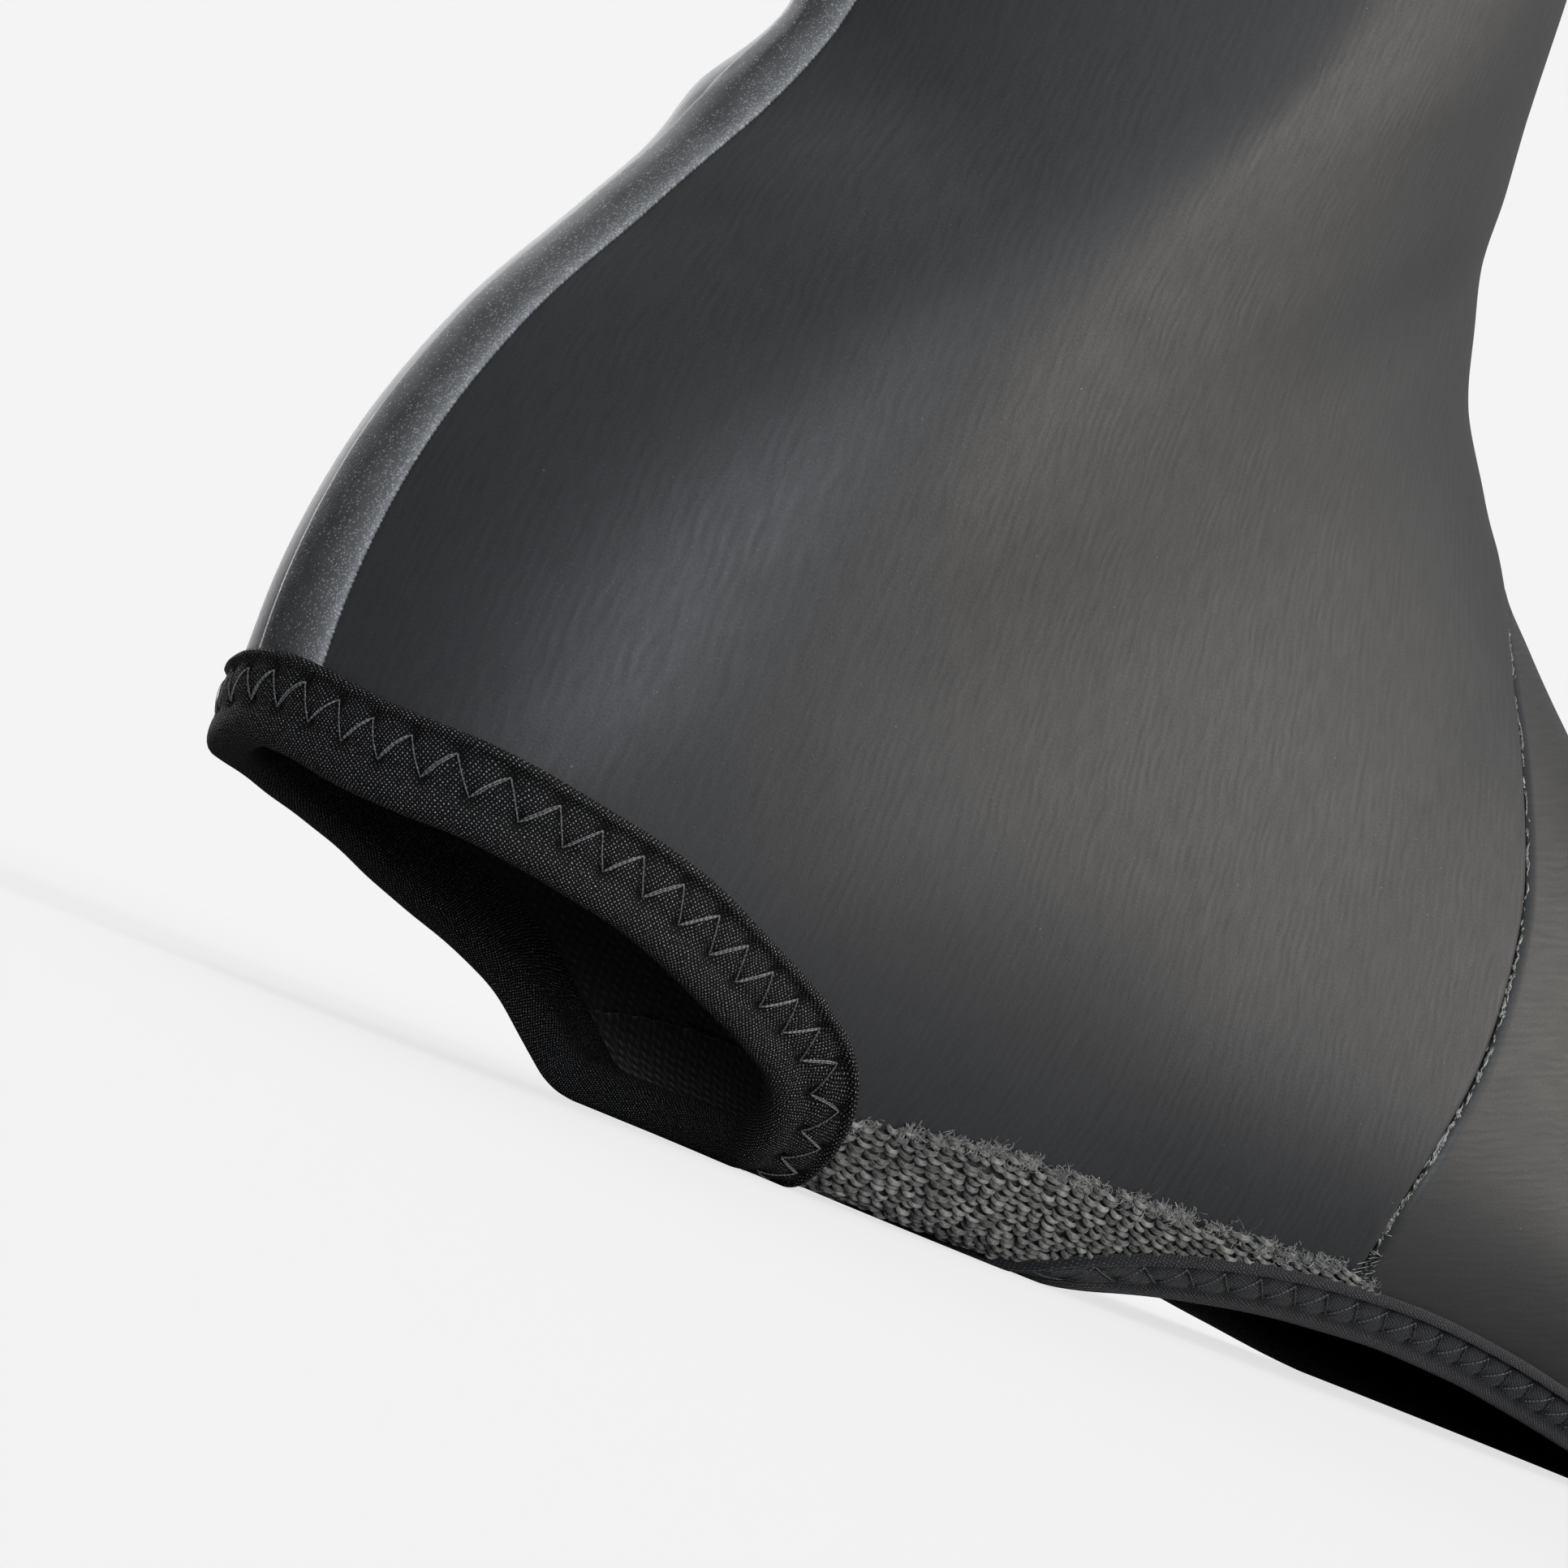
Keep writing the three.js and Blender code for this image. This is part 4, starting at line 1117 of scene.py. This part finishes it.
# Dried glue on the front seam and the stitches of the hem
seamLook = {
    "lumps": 520, "lumpRadius": 0.12, "smears": 150, "smearRadius": (0.1, 0.2), "lowestAngle": 52,
    "hemStitch": 2.6, "hemGap": 0.7, "hemThread": 0.14,
}


def seamPlaces(shares, side):
    angles = np.radians(seamLook["lowestAngle"] + (180 - seamLook["lowestAngle"]) * shares)
    return seamStations(angles), angles * side


def buildGlue():
    # Dried glue along the front seam, thicker near its lower ends.
    count = seamLook["lumps"]
    shares = np.clip(chance.beta(0.9, 1.5, count), 0.0, 1.0)
    station, angle = seamPlaces(shares, np.where(chance.random(count) < 0.5, -1, 1))
    along, _ = faceDirections(station, angle)
    station, angle = walk(station, angle, unit(along), chance.normal(0, 0.16, count))
    normal = outward(station, angle)
    ahead = np.stack(seamPlaces(np.clip(shares + 0.004, 0, 1), np.sign(angle)), -1)
    route = unit(lastPoint(ahead[:, 0], ahead[:, 1]) - lastPoint(*seamPlaces(shares, np.sign(angle))) + 1e-6)
    t = np.linspace(-1, 1, 6)[None, :, None]
    size = chance.lognormal(-0.8, 0.5, (count, 1, 1)).clip(0.15, 1.4)
    centre = formPoint(station, angle, np.full(count, -0.42))[:, None]
    jag = chance.normal(0, 0.06, (count, 6, 3))
    path = centre + route[:, None] * t * size + jag
    radius = np.sqrt(np.clip(1 - t[..., 0] ** 2, 0.03, 1)) * seamLook["lumpRadius"]
    radius = radius * chance.lognormal(0, 0.3, (count, 1))
    piece = tubes("seam_glue", path, np.repeat(normal[:, None], 6, 1), radius, 6)
    finishPiece(piece, [glue])


def buildDarkGlue():
    # A thin dark smear of glue where the seam meets the knit and the cleat binding.
    count = seamLook["smears"]
    side = np.where(chance.random(count) < 0.5, -1, 1)
    shares = np.abs(chance.normal(0, 0.035, count))
    station, angle = seamPlaces(shares, side)
    along, _ = faceDirections(station, angle)
    station, angle = walk(station, angle, unit(along), chance.normal(-0.3, 0.9, count) * (1 - 6 * shares))
    normal, forward, aside = localAxes(station, angle)
    turn = chance.normal(0.9, 0.5, (count, 1))
    route = forward * np.cos(turn) - aside * np.sign(angle)[:, None] * np.sin(turn)
    t = np.linspace(-1, 1, 6)[None, :, None]
    size = chance.uniform(0.5, 1.5, (count, 1, 1))
    path = formPoint(station, angle, np.full(count, -0.12))[:, None] + route[:, None] * t * size
    radius = chance.uniform(*seamLook["smearRadius"], (count, 1)) * np.sqrt(
        np.clip(1 - t[..., 0] ** 2, 0.03, 1))
    piece = tubes("seam_smear", path, np.repeat(normal[:, None], 6, 1), radius, 6)
    finishPiece(piece, [darkGlue])


def buildHemStitches():
    # Two rows of straight stitches round the collar's hem.
    paths, normals = [], []
    for height in hemSeams:
        angles = np.linspace(-np.pi, np.pi, 1201)
        rise = lastPoint(collarStation, angles) - lastPoint(collarStation - 1, angles)
        station = collarStation - height / np.linalg.norm(rise, axis=-1)
        travelled = lengthAlong(lastPoint(station, angles))
        count = int(travelled[-1] / (seamLook["hemStitch"] + seamLook["hemGap"]))
        pitch = travelled[-1] / count
        t = np.linspace(0, 1, 7)[None]
        where = np.arange(count)[:, None] * pitch + t * seamLook["hemStitch"]
        angle = np.interp(where, travelled, angles)
        place = np.interp(where, travelled, station)
        off = -0.42 + 0.42 * np.sin(np.pi * t) ** 0.5 + 0 * where
        fromMiddle = np.abs(lastPoint(place, angle)[..., 1])
        overTape = np.clip((shoe["tapeWidth"] / 2 + 0.2 - fromMiddle) / 0.4, 0, 1) * (np.abs(angle) < 1)
        paths.append(formPoint(place, angle, off + 0.55 * overTape))
        normals.append(outward(place, angle))
    piece = tubes("hem_stitches", np.concatenate(paths), np.concatenate(normals), seamLook["hemThread"], 6)
    finishPiece(piece, [darkThread])


buildGlue()
buildDarkGlue()
buildHemStitches()
print("seam and hem ready")

# Floor, lights and camera
studio = {
    "backdrop": 0.905, "fill": 0.20,
    # the camera's place in mm, its turns in degrees, and its focal length in pixels of the whole frame
    "camera": (-229.0, -228.0, 5.0), "azimuth": 50.2, "elevation": 6.5, "roll": 21.4,
    "focalPixels": 3517, "framePixels": 1932,
    # towards the light, its strength, its width in degrees, its colour
    "suns": [
        ((0.62, -0.72, 0.34), 1.6, 40, (1.0, 0.925, 0.83)),
        ((-0.25, -0.95, 0.14), 1.4, 26, (0.86, 0.93, 1.0)),
        ((-0.52, -0.85, 0.04), 1.1, 24, (0.92, 0.96, 1.0)),
        ((0.34, 0.90, 0.30), 1.9, 40, (0.97, 0.98, 1.0)),
        ((0.1, 0.0, 1.0), 0.8, 70, (1.0, 1.0, 1.0)),
    ],
    "floorRings": [150, 400, 1200, 12000], "floorTone": 0.2, "floorGlow": 0.722,
}


def buildFloor():
    # A wide pale floor. Its glow is only for the eye, so that it meets the backdrop without an edge.
    sides, rings = 96, studio["floorRings"]
    turn = np.arange(sides) * 2 * np.pi / sides
    points = [(0, 0, 0)] + [(r * math.cos(a), r * math.sin(a), 0) for r in rings for a in turn]
    faces = [[0, 1 + k, 1 + (k + 1) % sides] for k in range(sides)]
    faces += (gridFaces(len(rings), sides, closedColumns=True)[:, ::-1] + 1).tolist()
    floor = newMesh("studio_floor", points, faces)
    material, tree, shader, _ = newMaterial("paleFloor", 0.9, Specular_IOR_Level=0.0)
    place = put(tree, "TexCoord", out=3)
    tone = studio["floorTone"]
    tree.links.new(blendColours(tree, noise(tree, place, 2.0), (tone,) * 3, (tone * 1.01,) * 3),
                   shader.inputs["Base Color"])
    shader.inputs["Emission Color"].default_value = (1, 1, 1, 1)
    seen = put(tree, "LightPath")
    tree.links.new(maths(tree, "MULTIPLY", seen, studio["floorGlow"]), shader.inputs["Emission Strength"])
    floor.data.materials.append(material)


def buildLights():
    for k, (towards, strength, width, colour) in enumerate(studio["suns"]):
        light = bpy.data.lights.new(f"softlight_{k}", "SUN")
        light.energy = strength
        light.angle = math.radians(width)
        light.color = colour
        lamp = bpy.data.objects.new(f"softlight_{k}", light)
        lamp.location = Vector(towards)
        lamp.rotation_euler = (-Vector(towards)).to_track_quat("-Z", "Y").to_euler()
        bpy.context.scene.collection.objects.link(lamp)
    world = bpy.data.worlds.new("studio")
    bpy.context.scene.world = world
    world.use_nodes = True
    tree = world.node_tree
    ground = next(n for n in tree.nodes if n.type == "BACKGROUND")
    seen = put(tree, "LightPath")
    strength = remap(tree, seen, 0, 1, studio["fill"], studio["backdrop"])
    ground.inputs["Color"].default_value = (1, 1, 1, 1)
    tree.links.new(strength, ground.inputs["Strength"])


def buildCamera():
    az, el, roll = (math.radians(studio[key]) for key in ("azimuth", "elevation", "roll"))
    look = Vector((math.cos(el) * math.cos(az), math.cos(el) * math.sin(az), math.sin(el)))
    right = look.cross(Vector((0, 0, 1))).normalized()
    up = right.cross(look)
    turnedRight = right * math.cos(roll) + up * math.sin(roll)
    turnedUp = up * math.cos(roll) - right * math.sin(roll)
    data = bpy.data.cameras.new("photo_view")
    data.sensor_width = 36
    data.lens = studio["focalPixels"] / studio["framePixels"] * data.sensor_width
    data.clip_start = 0.01
    data.clip_end = 50
    camera = bpy.data.objects.new("photo_view", data)
    matrix = Matrix((turnedRight, turnedUp, -look)).transposed().to_4x4()
    matrix.translation = Vector(studio["camera"]) / 1000
    camera.matrix_world = matrix
    bpy.context.scene.collection.objects.link(camera)
    bpy.context.scene.camera = camera


buildFloor()
buildLights()
buildCamera()
bpy.context.scene.view_settings.view_transform = "Standard"
print("studio ready")
